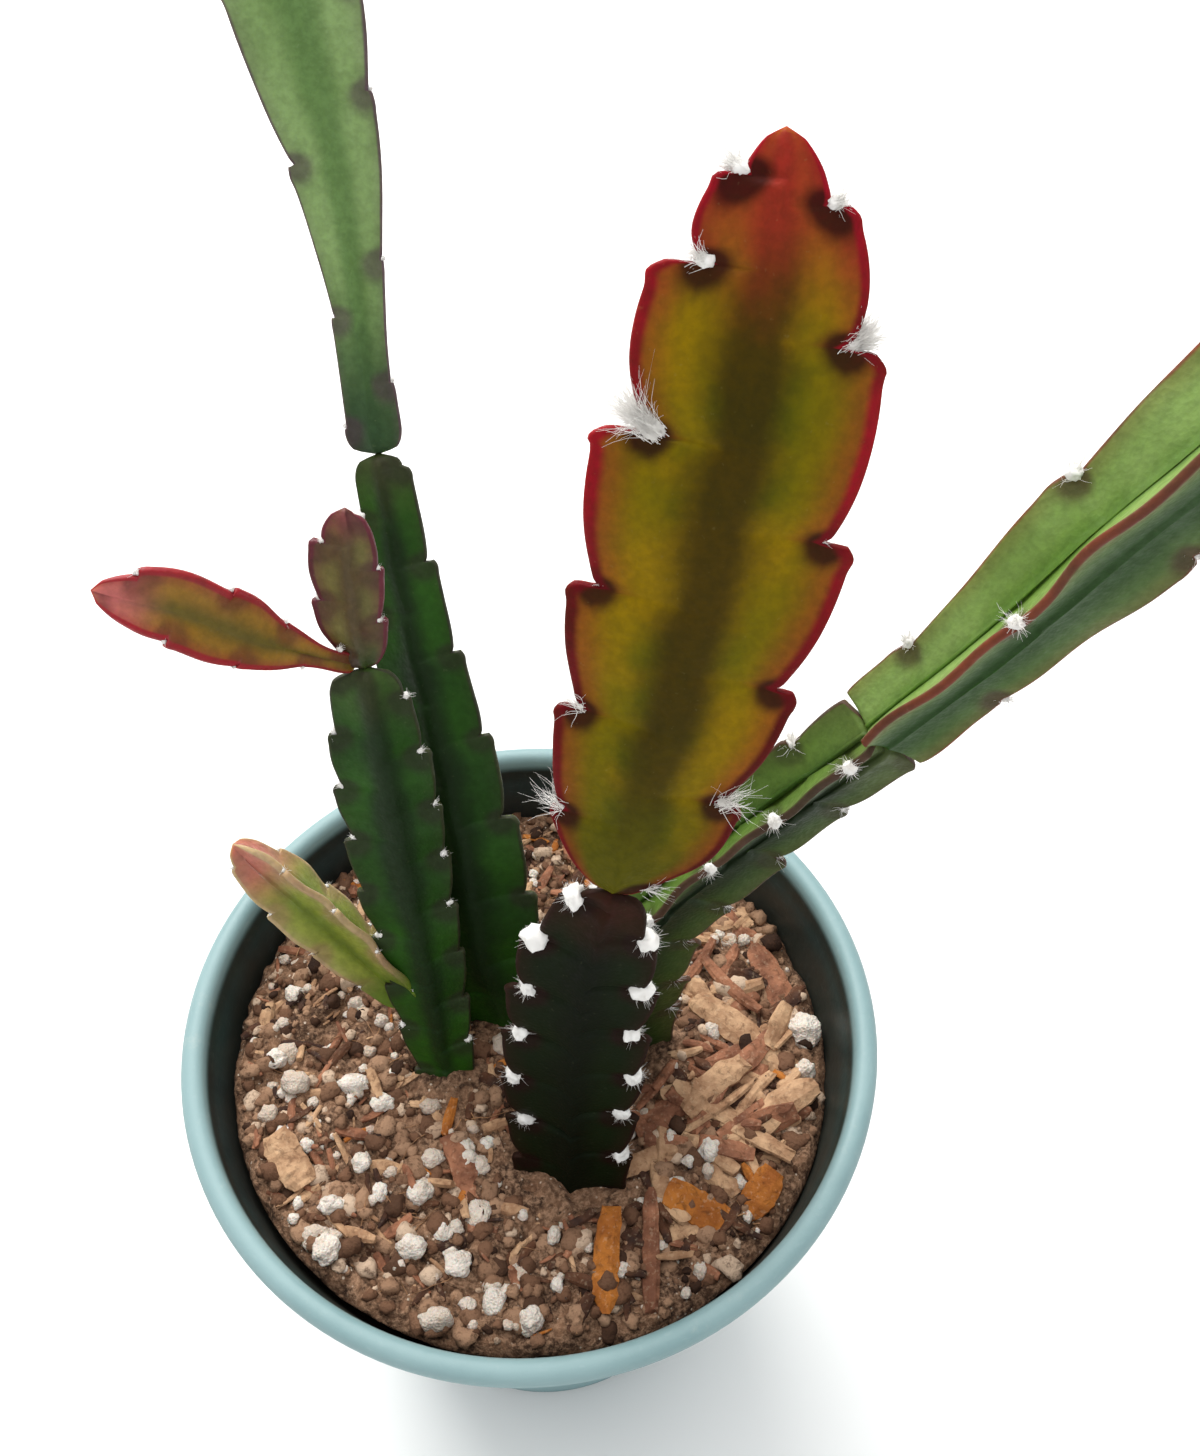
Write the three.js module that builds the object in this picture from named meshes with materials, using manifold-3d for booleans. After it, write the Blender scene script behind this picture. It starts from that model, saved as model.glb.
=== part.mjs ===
// A hurricane cactus (a flat-stemmed, winged cactus) growing in a small nursery pot.
// Millimetres, +Z up. The origin is the middle of the pot's underside; the leaning
// front stem stands on the -Y side, the long right-hand stem leans towards +X.
import * as THREE from "three";
import { mergeVertices } from "three/addons/utils/BufferGeometryUtils.js";
import Module from "manifold-3d";

const wasm = await Module();
wasm.setup();

// ---------------------------------------------------------------- driving dimensions

const POT_HEIGHT = 90;
const POT_RIM_RADIUS = 51;
const POT_BASE_RADIUS = 30.5;
const POT_LIP_WIDTH = 3.4;
const POT_SKIRT_HEIGHT = 5.5;
const POT_WALL = 1;
const POT_FLOOR = 1.6;
const POT_SEGMENTS = 48;
const DRAIN_HOLES = 6;
const DRAIN_HOLE_RADIUS = 3.5;
const DRAIN_HOLE_CIRCLE = 20;

const MIX_LEVEL = 80;
const MIX_FALL_X = 0.05;
const MIX_FALL_Y = 0.02;
const MIX_BUMP = 0.55;
const MIX_RINGS = 6;
const MIX_SEGMENTS = 32;

const CLEARANCE = 0.35;
const MARGIN_HALF_THICKNESS = 0.5;
const SHOULDER = 0.86;
const BURIED_LENGTH = 16;
const END_LENGTH = 3;

// Each stem is one winged segment: a curved midline, and wings that stand off it at
// `turn` degrees round the midline from the side it faces. `reach` lists the wing's
// width along the stem, `core` is half the midrib's thickness and `pitch` the length
// of one scalloped lobe. A wing's notches are evenly spaced from `phase` and cut the
// share `bite` of its width, or `notches` lists each one's [distance, share].

const FRONT_LOWER = {
  name: "front_lower_segment",
  route: [
    [6, -20, 64], [6.5, -20, 80], [7, -16.5, 100], [8.5, -13.5, 120], [10.8, -12, 134],
    [11.5, -12, 139.5],
  ],
  buried: BURIED_LENGTH,
  face: [0, -1, 0.3],
  wings: [
    { turn: -92, scale: 1, phase: 0.05, bite: 0.26 },
    { turn: 72, scale: 0.9, phase: 0.55, bite: 0.26 },
    { turn: 165, scale: 0.6, phase: 0.3, bite: 0.2 },
  ],
  reach: [3.6, 8, 9.2, 9.8, 9.8, 8.8, 4.2],
  core: 3.2,
  pitch: 9.2,
};

const FRONT_UPPER = {
  name: "front_upper_segment",
  route: [
    [11.6, -12, 140], [14.8, -9, 152.3], [19.5, -3.5, 174], [22.4, 0.9, 190.9], [24.1, 5.2, 204.4],
    [24.9, 9.3, 215.5],
  ],
  face: [-0.1, -1, 0.6],
  wings: [
    {
      turn: -86,
      scale: 1,
      notches: [[9.7, 0.16], [23, 0.2], [37.5, 0.2], [54, 0.36], [69.4, 0.4], [76.5, 0.34]],
    },
    {
      turn: 90,
      scale: 0.96,
      notches: [[1.5, 0.1], [15.4, 0.22], [30.6, 0.18], [46.5, 0.2], [64, 0.26], [74.5, 0.24]],
    },
    { turn: 180, scale: 0.42, phase: 0.4, bite: 0.24 },
  ],
  reach: [3, 9.5, 10.8, 11.8, 12.6, 13, 12.6, 11.2, 8.4, 4.2],
  core: 2.2,
  pitch: 14.8,
};

const TALL_LOWER = {
  name: "tall_lower_segment",
  route: [
    [-3.5, 4, 62], [-4.5, 5, 80], [-7.2, 8, 95], [-8.9, 13.6, 112], [-11.6, 20.4, 127.3],
    [-14.1, 26.6, 140.5], [-16, 32.8, 152.4], [-17.3, 37.8, 161.8],
  ],
  buried: BURIED_LENGTH,
  face: [0.1, -1, 0.6],
  wings: [
    { turn: -95, scale: 1, phase: 0, bite: 0.2 },
    { turn: 75, scale: 1, phase: 0.5, bite: 0.2 },
    { turn: 178, scale: 0.8, phase: 0.2, bite: 0.2 },
  ],
  reach: [3.5, 7, 9, 9.2, 8.4, 7.2, 6, 4.6, 3.4],
  core: 2.8,
  pitch: 12.5,
};

const TALL_UPPER = {
  name: "tall_upper_segment",
  route: [
    [-17.5, 38.3, 162.4], [-18.4, 44.2, 172.7], [-20, 54.3, 186.5], [-22.6, 62, 197.1],
    [-25.1, 69.3, 207.2], [-28.5, 78.2, 217.5], [-31.5, 86.5, 226],
  ],
  face: [0, -1, 0.7],
  wings: [
    { turn: -90, scale: 1.16, notches: [[3, 0.1], [16, 0.12], [34, 0.16], [55, 0.2]] },
    { turn: 88, scale: 1, notches: [[8, 0.1], [22, 0.08], [40, 0.1], [52, 0.14]] },
    { turn: 180, scale: 0.45, phase: 0.3, bite: 0.2 },
  ],
  reach: [3.4, 2.9, 3.4, 4.7, 6.2, 7.2, 7.8, 7.4, 5],
  core: 1.8,
  pitch: 16,
};

const SHORT_LOWER = {
  name: "short_lower_segment",
  route: [
    [-11, -7.5, 62], [-12.5, -5.6, 76.2], [-14.4, 1.1, 96.4], [-16.4, 8, 116.7],
    [-17.6, 12.7, 132.6], [-18.6, 16.2, 146],
  ],
  buried: BURIED_LENGTH,
  face: [0.1, -1, 0.5],
  wings: [
    { turn: -90, scale: 1.15, phase: 0.3, bite: 0.16 },
    { turn: 85, scale: 1, phase: 0.8, bite: 0.18 },
    { turn: 176, scale: 0.6, phase: 0.1, bite: 0.2 },
  ],
  reach: [3, 3.8, 5, 5.8, 6.2, 6, 3.8],
  core: 2.4,
  pitch: 8.5,
};

const SHORT_UPPER = {
  name: "short_upper_segment",
  route: [[-18.7, 16.5, 146.5], [-19.4, 19.9, 155.8], [-19.2, 23.2, 165.3]],
  face: [0.1, -1, 0.5],
  wings: [
    { turn: -90, scale: 1.1, phase: 0.3, bite: 0.24 },
    { turn: 85, scale: 0.9, phase: 0.8, bite: 0.24 },
    { turn: 178, scale: 0.8, phase: 0.1, bite: 0.2 },
  ],
  reach: [2.8, 4, 4.3, 4, 2],
  core: 1.8,
  pitch: 7,
};

const RED_SHOOT = {
  name: "red_side_shoot",
  route: [[-20.2, 16.6, 146.4], [-29, 11.8, 155.5], [-35.7, 8.7, 163.4], [-43, 6.7, 168.3]],
  face: [0, -0.3, 1],
  wings: [
    { turn: 28, scale: 1, phase: 0.3, bite: 0.12 },
    { turn: 125, scale: 1, phase: 0.5, bite: 0.12 },
    { turn: 255, scale: 0.86, phase: 0.8, bite: 0.12 },
  ],
  reach: [1.6, 1.7, 3.6, 5.3, 5.6, 4.7, 1.8],
  core: 1.4,
  pitch: 9,
};

const BASAL_SHOOT = {
  name: "basal_shoot",
  route: [[-17, 0.6, 92], [-27.8, 5, 106.3], [-35, 7.5, 115], [-38.9, 8.4, 119.7]],
  face: [0, -0.3, 1],
  wings: [
    { turn: 10, scale: 1, phase: 0.3, bite: 0.12 },
    { turn: 130, scale: 1, phase: 0.3, bite: 0.12 },
    { turn: 250, scale: 1, phase: 0.8, bite: 0.12 },
  ],
  reach: [3, 4.4, 5.2, 5.4, 4.6, 2],
  core: 1.8,
  pitch: 9,
};

const RIGHT_LOWER = {
  name: "right_lower_segment",
  route: [
    [12, 1, 64], [12, -0.5, 80], [12, -2, 100], [16, -0.4, 116.1], [27.4, 0.6, 132.8],
    [41.2, 0.3, 152],
  ],
  buried: BURIED_LENGTH,
  face: [-0.3, -1, 0.8],
  wings: [
    { turn: -88, scale: 0.9, phase: 0.3, bite: 0.16 },
    { turn: 4, scale: 0.7, phase: 0.8, bite: 0.16 },
    { turn: 120, scale: 1, phase: 0.1, bite: 0.22 },
  ],
  reach: [4, 9.4, 11, 9.8, 8.4, 7, 6.4],
  core: 3,
  pitch: 12,
};

const RIGHT_UPPER = {
  name: "right_upper_segment",
  route: [
    [41.5, 0.3, 152.5], [51.4, 0.6, 167], [59.8, 1.2, 180.7], [64.7, 1.1, 188.5], [70.5, 1.9, 197],
    [76, 3, 204.5], [80.5, 4, 211],
  ],
  face: [-0.3, -1, 0.8],
  wings: [
    { turn: -104, scale: 1, notches: [[9, 0.12], [34, 0.14], [60, 0.14]] },
    { turn: -12, scale: 0.8, notches: [[-4, 0.1], [22, 0.16], [50, 0.16]] },
    { turn: 118, scale: 1, notches: [[12, 0.08], [36, 0.12], [60, 0.1]] },
  ],
  reach: [6.2, 6.4, 7.4, 8.3, 8.7, 8.3, 6],
  core: 2.4,
  pitch: 26,
};

// Bark chips lying on the mix: middle [x, y], [length, width, thickness], heading and
// the angle at which one end sticks up, both in degrees.
const BARK_CHIPS = [
  { at: [32, 2.5], size: [17, 5, 2], heading: 140, tip: 7 },
  { at: [38, 11.5], size: [13, 4.5, 1.8], heading: 113, tip: 5 },
  { at: [27, -7], size: [12, 4, 1.8], heading: 40, tip: 4 },
  { at: [36, -11], size: [15, 4.5, 2], heading: 36, tip: 6 },
  { at: [11, -33], size: [13, 3.6, 1.8], heading: 86, tip: 7 },
  { at: [17.2, -31.5], size: [16, 2.4, 1.4], heading: 89, tip: 3 },
  { at: [24, -25.5], size: [10, 5, 1.4], heading: 155, tip: 12 },
  { at: [33, -23.5], size: [8, 4.6, 1.4], heading: 50, tip: 14 },
  { at: [-9.5, -20], size: [10, 3.6, 1.6], heading: 112, tip: 5 },
  { at: [-34, -20], size: [9, 5, 2], heading: 127, tip: 8 },
  { at: [20, 27], size: [14, 4.5, 1.8], heading: 150, tip: 5 },
  { at: [-16, 31], size: [12, 4, 1.8], heading: 25, tip: 5 },
];

// Perlite grains: middle [x, y] and radius.
const PERLITE = [
  [42, 2.5, 2.3],
  [41.5, -4, 1.8],
  [26, -17, 1.6],
  [1, -41, 2.1],
  [-15, -24, 1.9],
  [-27, -26, 1.8],
  [-27, -32.5, 1.9],
  [-9, -34, 1.7],
  [-37.5, 7, 1.7],
  [-38.5, -4, 1.6],
  [-26, 28, 1.8],
  [-22, -10.5, 1.6],
];

// ---------------------------------------------------------------- materials

function plasticMaterial() {
  return new THREE.MeshStandardMaterial({ color: 0x8fb4b4, roughness: 0.55, metalness: 0 });
}

function mixMaterial() {
  return new THREE.MeshStandardMaterial({ color: 0x6e4f38, roughness: 0.95, metalness: 0 });
}

function matureStemMaterial() {
  return new THREE.MeshStandardMaterial({ color: 0x3f6a22, roughness: 0.5, metalness: 0 });
}

function youngStemMaterial() {
  return new THREE.MeshStandardMaterial({ color: 0x8a7d1e, roughness: 0.45, metalness: 0 });
}

function paleStemMaterial() {
  return new THREE.MeshStandardMaterial({ color: 0x7fa556, roughness: 0.5, metalness: 0 });
}

function barkMaterial() {
  return new THREE.MeshStandardMaterial({ color: 0xa8764a, roughness: 0.9, metalness: 0 });
}

function perliteMaterial() {
  return new THREE.MeshStandardMaterial({ color: 0xe8e2d8, roughness: 0.95, metalness: 0 });
}

// ---------------------------------------------------------------- solids and meshes

function toSolid(geometry) {
  const bare = geometry.clone();
  bare.deleteAttribute("normal");
  bare.deleteAttribute("uv");
  const merged = mergeVertices(bare, 1e-4);
  return new wasm.Manifold(
    new wasm.Mesh({
      numProp: 3,
      vertProperties: new Float32Array(merged.attributes.position.array),
      triVerts: new Uint32Array(merged.index.array),
    }),
  );
}

function toMesh(name, solid, material) {
  const shape = solid.getMesh();
  const geometry = new THREE.BufferGeometry();
  const points = [];
  for (let i = 0; i < shape.numVert; i++) {
    points.push(...shape.vertProperties.subarray(i * shape.numProp, i * shape.numProp + 3));
  }
  geometry.setAttribute("position", new THREE.Float32BufferAttribute(points, 3));
  geometry.setIndex(Array.from(shape.triVerts));
  geometry.computeVertexNormals();
  const mesh = new THREE.Mesh(geometry, material);
  mesh.name = name;
  return mesh;
}

// The biggest body of a solid, for when a cut leaves crumbs behind.
function mainBody(solid) {
  return solid.decompose().reduce((best, body) => (body.volume() > best.volume() ? body : best));
}

// Repeatable noise between -1 and 1.
function noise(seed) {
  const wave = Math.sin(seed * 127.1 + 311.7) * 43758.5453;
  return 2 * (wave - Math.floor(wave)) - 1;
}

// ---------------------------------------------------------------- winged stems

// A smooth value through evenly spaced knots, 0 <= u <= 1.
function through(knots, u) {
  const last = knots.length - 1;
  const x = Math.min(Math.max(u, 0), 1) * last;
  const i = Math.min(Math.floor(x), last - 1);
  const w = x - i;
  const before = i > 0 ? knots[i - 1] : 2 * knots[0] - knots[1];
  const after = i + 2 <= last ? knots[i + 2] : 2 * knots[last] - knots[last - 1];
  const slope0 = (knots[i + 1] - before) / 2;
  const slope1 = (after - knots[i]) / 2;
  const rise = knots[i + 1] - knots[i];
  const square = (3 * rise - 2 * slope0 - slope1) * w * w;
  const cube = (slope0 + slope1 - 2 * rise) * w ** 3;
  return knots[i] + slope0 * w + square + cube;
}

// The stem's midline as points a fixed length apart can be read from.
function midline(route) {
  const steps = 300;
  const axes = [0, 1, 2].map((axis) => route.map((point) => point[axis]));
  const points = [];
  const lengths = [0];
  for (let i = 0; i <= steps; i++) {
    points.push(new THREE.Vector3(...axes.map((axis) => through(axis, i / steps))));
    if (i > 0) lengths.push(lengths[i - 1] + points[i].distanceTo(points[i - 1]));
  }
  const total = lengths[steps];
  const pointAt = (s) => {
    const wanted = Math.min(Math.max(s, 0), total);
    let i = 1;
    while (i < steps && lengths[i] < wanted) i++;
    const w = (wanted - lengths[i - 1]) / (lengths[i] - lengths[i - 1]);
    return points[i - 1].clone().lerp(points[i], w);
  };
  return { total, pointAt };
}

// The lobe of a wing that distance s falls in: how far up it s is, from 0 to 1, and the
// share of the width cut by the notches below and above it.
function lobeAt(stem, wing, s) {
  if (!wing.notches) {
    const t = (((s / stem.pitch - wing.phase) % 1) + 1) % 1;
    return { t, below: wing.bite, above: wing.bite };
  }
  const last = wing.notches.length - 1;
  let i = last;
  while (i >= 0 && wing.notches[i][0] > s) i--;
  const [below, cutBelow] = i < 0 ? [wing.notches[0][0] - stem.pitch, 0.1] : wing.notches[i];
  const [above, cutAbove] = i === last ? [below + stem.pitch, 0.1] : wing.notches[i + 1];
  return { t: (s - below) / (above - below), below: cutBelow, above: cutAbove };
}

// Where the notches of a wing are, as distances along the stem.
function notchesOf(stem, wing, total) {
  if (wing.notches) return wing.notches.map(([s]) => s);
  const found = [];
  for (let s = (wing.phase - 1) * stem.pitch; s < total; s += stem.pitch) found.push(s);
  return found;
}

// One lobe of a wing's edge: 0 in the notch, swelling to 1, then a sudden round shoulder.
function lobeFullness(t) {
  if (t < SHOULDER) return 1 - Math.max(0, 1 - t / 0.74) ** 2.2;
  return Math.sqrt(Math.max(0, 1 - ((t - SHOULDER) / (1 - SHOULDER)) ** 2));
}

// Where along the stem the sections are taken: at the notch and shoulder of each lobe
// of the wide wings, and at the middle of the long lobes. The buried end is plain.
function stations(stem, total) {
  const buried = stem.buried ?? 0;
  const wanted = [buried * 0.5, buried, total - 1, total - END_LENGTH];
  if (!buried) wanted.push(1.2, END_LENGTH);
  for (const wing of stem.wings.filter((one) => one.scale >= 0.85)) {
    for (const notch of notchesOf(stem, wing, total)) {
      wanted.push(notch - 1.6);
      wanted.push(notch + 0.3);
      if (stem.pitch > 12) wanted.push(notch + stem.pitch * 0.45);
    }
  }
  const kept = [0];
  wanted.sort((a, b) => a - b);
  for (const s of wanted) {
    const least = s < buried ? buried * 0.45 : Math.max(0.1 * Math.min(stem.pitch, 15), 1);
    if (s - kept[kept.length - 1] >= least && total - s >= 0.6) kept.push(s);
  }
  kept.push(total);
  return kept;
}

// Narrows a segment over the last few millimetres at its free end or joint.
function endRounding(stem, s, total) {
  const round = (x) => 0.5 + 0.5 * Math.sqrt(1 - Math.max(0, 1 - x / END_LENGTH) ** 2);
  return (stem.buried ? 1 : round(s)) * round(total - s);
}

// The closed section of a stem at distance s along its midline.
function section(stem, line, s, grow) {
  const u = s / line.total;
  const along = line.pointAt(s + 0.5).sub(line.pointAt(s - 0.5)).normalize();
  const front = new THREE.Vector3(...stem.face);
  front.addScaledVector(along, -front.dot(along)).normalize();
  const side = new THREE.Vector3().crossVectors(along, front);
  const centre = line.pointAt(s);
  const reach = Math.max(through(stem.reach, u) * endRounding(stem, s, line.total), 0.6);
  const wings = [...stem.wings].sort((a, b) => a.turn - b.turn);
  const place = (angle, out, across, lift) => {
    const point = centre.clone();
    point.addScaledVector(front, out * Math.cos(angle) - across * Math.sin(angle));
    point.addScaledVector(side, out * Math.sin(angle) + across * Math.cos(angle));
    return point.addScaledVector(along, lift);
  };
  const ring = [];
  wings.forEach((wing, i) => {
    const { t, below, above } = lobeAt(stem, wing, s);
    const shaped = Math.min(Math.max((s - (stem.buried ?? -4)) / 4, 0), 1);
    const cut = (t < SHOULDER ? below : above) * (1 - lobeFullness(t)) * shaped;
    const width = reach * wing.scale * (1 - cut);
    const core = Math.min(stem.core, reach * 0.55);
    const margin = Math.min(MARGIN_HALF_THICKNESS, reach * 0.2);
    const lift = t > 0.4 && t < 0.95 ? 0.75 * ((t - 0.4) / 0.5) : 0;
    const fade = Math.min(shaped, s / 4, (line.total - s) / 4);
    const angle = THREE.MathUtils.degToRad(wing.turn);
    const next = wings[(i + 1) % wings.length];
    const step = i + 1 < wings.length ? next.turn - wing.turn : next.turn + 360 - wing.turn;
    const flank = core * 0.5 + margin * 0.5;
    ring.push(place(angle, width * 0.5, -(flank + grow), 0));
    ring.push(place(angle, width + grow, -(margin + grow * 0.7), lift * fade));
    ring.push(place(angle, width + grow, margin + grow * 0.7, lift * fade));
    ring.push(place(angle, width * 0.5, flank + grow, 0));
    const valley = Math.min(core, width * 0.45) + grow;
    ring.push(place(angle + THREE.MathUtils.degToRad(step / 2), valley, 0, 0));
  });
  return { ring, centre, along };
}

function stemSolid(stem, grow = 0) {
  const line = midline(stem.route);
  const sections = stations(stem, line.total).map((s) => section(stem, line, s, grow));
  const count = sections[0].ring.length;
  const points = sections.flatMap((one) => one.ring);
  const first = sections[0];
  const last = sections[sections.length - 1];
  const start = points.push(first.centre.clone().addScaledVector(first.along, -0.4 - grow)) - 1;
  const end = points.push(last.centre.clone().addScaledVector(last.along, 0.4 + grow)) - 1;
  const faces = [];
  const top = (sections.length - 1) * count;
  for (let j = 0; j < count; j++) {
    const k = (j + 1) % count;
    for (let i = 0; i < sections.length - 1; i++) {
      const below = i * count;
      const above = below + count;
      faces.push(below + j, below + k, above + k);
      faces.push(below + j, above + k, above + j);
    }
    faces.push(start, k, j);
    faces.push(end, top + j, top + k);
  }
  const geometry = new THREE.BufferGeometry();
  geometry.setAttribute("position", new THREE.Float32BufferAttribute(points.flatMap((p) => p.toArray()), 3));
  geometry.setIndex(faces);
  return toSolid(geometry);
}

// ---------------------------------------------------------------- pot

// Thin tapered wall, flat floor, and a rim folded outwards into a short skirt.
function potSolid() {
  const rim = POT_RIM_RADIUS;
  const lip = rim - POT_LIP_WIDTH;
  const skirtFoot = POT_HEIGHT - POT_SKIRT_HEIGHT;
  const wallTop = lip + POT_WALL;
  const profile = [
    [0, 0],
    [POT_BASE_RADIUS - 1.2, 0],
    [POT_BASE_RADIUS, 1.2],
    [wallTop - 0.6, skirtFoot],
    [wallTop - 0.2, POT_HEIGHT - 2.4],
    [rim - 1.8, POT_HEIGHT - 2.4],
    [rim - 2.1, skirtFoot],
    [rim - 1.1, skirtFoot],
    [rim, POT_HEIGHT - 1.8],
    [rim - 0.5, POT_HEIGHT - 0.6],
    [rim - 1.5, POT_HEIGHT],
    [lip + 1.3, POT_HEIGHT],
    [lip + 0.3, POT_HEIGHT - 0.7],
    [lip, POT_HEIGHT - 2],
    [wallTop - 0.6 - POT_WALL, skirtFoot],
    [POT_BASE_RADIUS - POT_WALL + 0.2, POT_FLOOR + 0.8],
    [POT_BASE_RADIUS - POT_WALL - 0.8, POT_FLOOR],
    [0, POT_FLOOR],
  ];
  const lathe = new THREE.LatheGeometry(profile.map(([r, z]) => new THREE.Vector2(r, z)), POT_SEGMENTS);
  lathe.rotateX(Math.PI / 2);
  let pot = toSolid(lathe);
  for (let i = 0; i < DRAIN_HOLES; i++) {
    const drill = new THREE.CylinderGeometry(DRAIN_HOLE_RADIUS, DRAIN_HOLE_RADIUS, POT_FLOOR + 2, 16);
    drill.rotateX(Math.PI / 2);
    drill.translate(DRAIN_HOLE_CIRCLE, 0, POT_FLOOR / 2);
    drill.rotateZ((2 * Math.PI * i) / DRAIN_HOLES);
    pot = pot.subtract(toSolid(drill));
  }
  return pot;
}

// Inner radius of the pot's wall at height z.
function potInnerRadius(z) {
  const foot = POT_BASE_RADIUS - POT_WALL + 0.2;
  const shoulder = POT_RIM_RADIUS - POT_LIP_WIDTH - 0.6;
  const skirtFoot = POT_HEIGHT - POT_SKIRT_HEIGHT;
  return foot + ((shoulder - foot) * (z - POT_FLOOR - 0.8)) / (skirtFoot - POT_FLOOR - 0.8);
}

// ---------------------------------------------------------------- potting mix

// Height of the mix's surface: it slopes a little and is lumpy all over.
function mixHeight(x, y) {
  const slope = -MIX_FALL_X * x - MIX_FALL_Y * y;
  const lumps = Math.sin(x * 0.31 + 1.3) * Math.cos(y * 0.27 - 0.4) + 0.7 * Math.sin(x * 0.62 - y * 0.55);
  return MIX_LEVEL + slope + MIX_BUMP * lumps;
}

function mixSolid() {
  const floor = POT_FLOOR + 0.4;
  const points = [];
  const faces = [];
  const edge = (x, y) => mixHeight(x, y) - 1.2;
  points.push(0, 0, mixHeight(0, 0));
  for (let ring = 1; ring <= MIX_RINGS; ring++) {
    for (let j = 0; j < MIX_SEGMENTS; j++) {
      const angle = (2 * Math.PI * j) / MIX_SEGMENTS;
      const radius = ((potInnerRadius(MIX_LEVEL - 4) - CLEARANCE) * ring) / MIX_RINGS;
      const x = radius * Math.cos(angle);
      const y = radius * Math.sin(angle);
      points.push(x, y, ring < MIX_RINGS ? mixHeight(x, y) : edge(x, y));
    }
  }
  const foot = potInnerRadius(POT_FLOOR + 2) - 1.4;
  for (let j = 0; j < MIX_SEGMENTS; j++) {
    const angle = (2 * Math.PI * j) / MIX_SEGMENTS;
    points.push(foot * Math.cos(angle), foot * Math.sin(angle), floor);
  }
  const bottom = points.push(0, 0, floor) / 3 - 1;
  for (let j = 0; j < MIX_SEGMENTS; j++) {
    const k = (j + 1) % MIX_SEGMENTS;
    faces.push(0, 1 + j, 1 + k);
    for (let ring = 0; ring < MIX_RINGS; ring++) {
      const inner = 1 + ring * MIX_SEGMENTS;
      const outer = inner + MIX_SEGMENTS;
      faces.push(inner + j, outer + j, outer + k);
      faces.push(inner + j, outer + k, inner + k);
    }
    const rim = 1 + MIX_RINGS * MIX_SEGMENTS;
    faces.push(bottom, rim + k, rim + j);
  }
  const geometry = new THREE.BufferGeometry();
  geometry.setAttribute("position", new THREE.Float32BufferAttribute(points, 3));
  geometry.setIndex(faces);
  return toSolid(geometry);
}

// ---------------------------------------------------------------- loose pieces on the mix

// A split sliver of bark: six ragged cross sections along its length.
function chipSolid(chip, index, grow = 0) {
  const [length, width, thickness] = chip.size;
  const cuts = 5;
  const slices = [];
  for (let i = 0; i <= cuts; i++) {
    const u = i / cuts - 0.5;
    const taper = 1 - 0.55 * (2 * Math.abs(u)) ** 3;
    const half = (width / 2) * taper * (1 + 0.14 * noise(index * 13 + i)) + grow;
    const thick = (thickness / 2) * (0.75 + 0.25 * taper) + grow;
    const bend = 0.05 * length * u * u * noise(index + 0.5) * 4;
    const x = u * (length + 2 * grow);
    slices.push([
      [x, bend - half, -thick],
      [x, bend + half, -thick * 0.8],
      [x, bend + half * 0.8, thick],
      [x, bend - half * 0.85, thick * 0.9],
    ]);
  }
  const points = slices.flat(2);
  const faces = [];
  for (let i = 0; i < cuts; i++) {
    for (let j = 0; j < 4; j++) {
      const a = 4 * i + j;
      const b = 4 * i + ((j + 1) % 4);
      faces.push(a, b, b + 4);
      faces.push(a, b + 4, a + 4);
    }
  }
  const end = 4 * cuts;
  faces.push(0, 2, 1, 0, 3, 2);
  faces.push(end, end + 1, end + 2, end, end + 2, end + 3);
  const geometry = new THREE.BufferGeometry();
  geometry.setAttribute("position", new THREE.Float32BufferAttribute(points, 3));
  geometry.setIndex(faces);
  geometry.rotateY(THREE.MathUtils.degToRad(-chip.tip));
  geometry.rotateZ(THREE.MathUtils.degToRad(chip.heading));
  geometry.translate(chip.at[0], chip.at[1], mixHeight(...chip.at) + thickness * 0.15);
  return toSolid(geometry);
}

// A rounded, knobbly grain, sunk nearly half way into the mix.
function perliteSolid([x, y, radius], index, grow = 0) {
  const grain = new THREE.IcosahedronGeometry(1, 1);
  grain.deleteAttribute("normal");
  grain.deleteAttribute("uv");
  const geometry = mergeVertices(grain, 1e-4);
  const position = geometry.attributes.position;
  for (let i = 0; i < position.count; i++) {
    const size = radius * (1 + 0.14 * noise(index * 31 + i)) + grow;
    position.setXYZ(i, position.getX(i) * size, position.getY(i) * size, position.getZ(i) * size * 0.85);
  }
  geometry.translate(x, y, mixHeight(x, y) + radius * 0.2);
  return toSolid(geometry);
}

// ---------------------------------------------------------------- assembly

const root = new THREE.Group();
root.name = "potted_hurricane_cactus";

function add(name, solid, material) {
  root.add(toMesh(name, solid, material));
}

// A segment that sits on or against others is cut back to clear them.
function clearOf(stem, ...neighbours) {
  let solid = stemSolid(stem);
  for (const neighbour of neighbours) solid = solid.subtract(stemSolid(neighbour, CLEARANCE));
  return mainBody(solid);
}

function addStems() {
  add(FRONT_LOWER.name, clearOf(FRONT_LOWER, FRONT_UPPER), matureStemMaterial());
  add(FRONT_UPPER.name, stemSolid(FRONT_UPPER), youngStemMaterial());
  add(TALL_LOWER.name, clearOf(TALL_LOWER, TALL_UPPER), matureStemMaterial());
  add(TALL_UPPER.name, stemSolid(TALL_UPPER), paleStemMaterial());
  add(SHORT_LOWER.name, clearOf(SHORT_LOWER, SHORT_UPPER, TALL_LOWER), matureStemMaterial());
  add(SHORT_UPPER.name, stemSolid(SHORT_UPPER), youngStemMaterial());
  add(RED_SHOOT.name, clearOf(RED_SHOOT, SHORT_LOWER, SHORT_UPPER), youngStemMaterial());
  add(BASAL_SHOOT.name, clearOf(BASAL_SHOOT, SHORT_LOWER), paleStemMaterial());
  add(RIGHT_LOWER.name, clearOf(RIGHT_LOWER, RIGHT_UPPER, FRONT_LOWER, TALL_LOWER), matureStemMaterial());
  add(RIGHT_UPPER.name, stemSolid(RIGHT_UPPER), paleStemMaterial());
}

function twoDigits(index) {
  return String(index + 1).padStart(2, "0");
}

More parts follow.
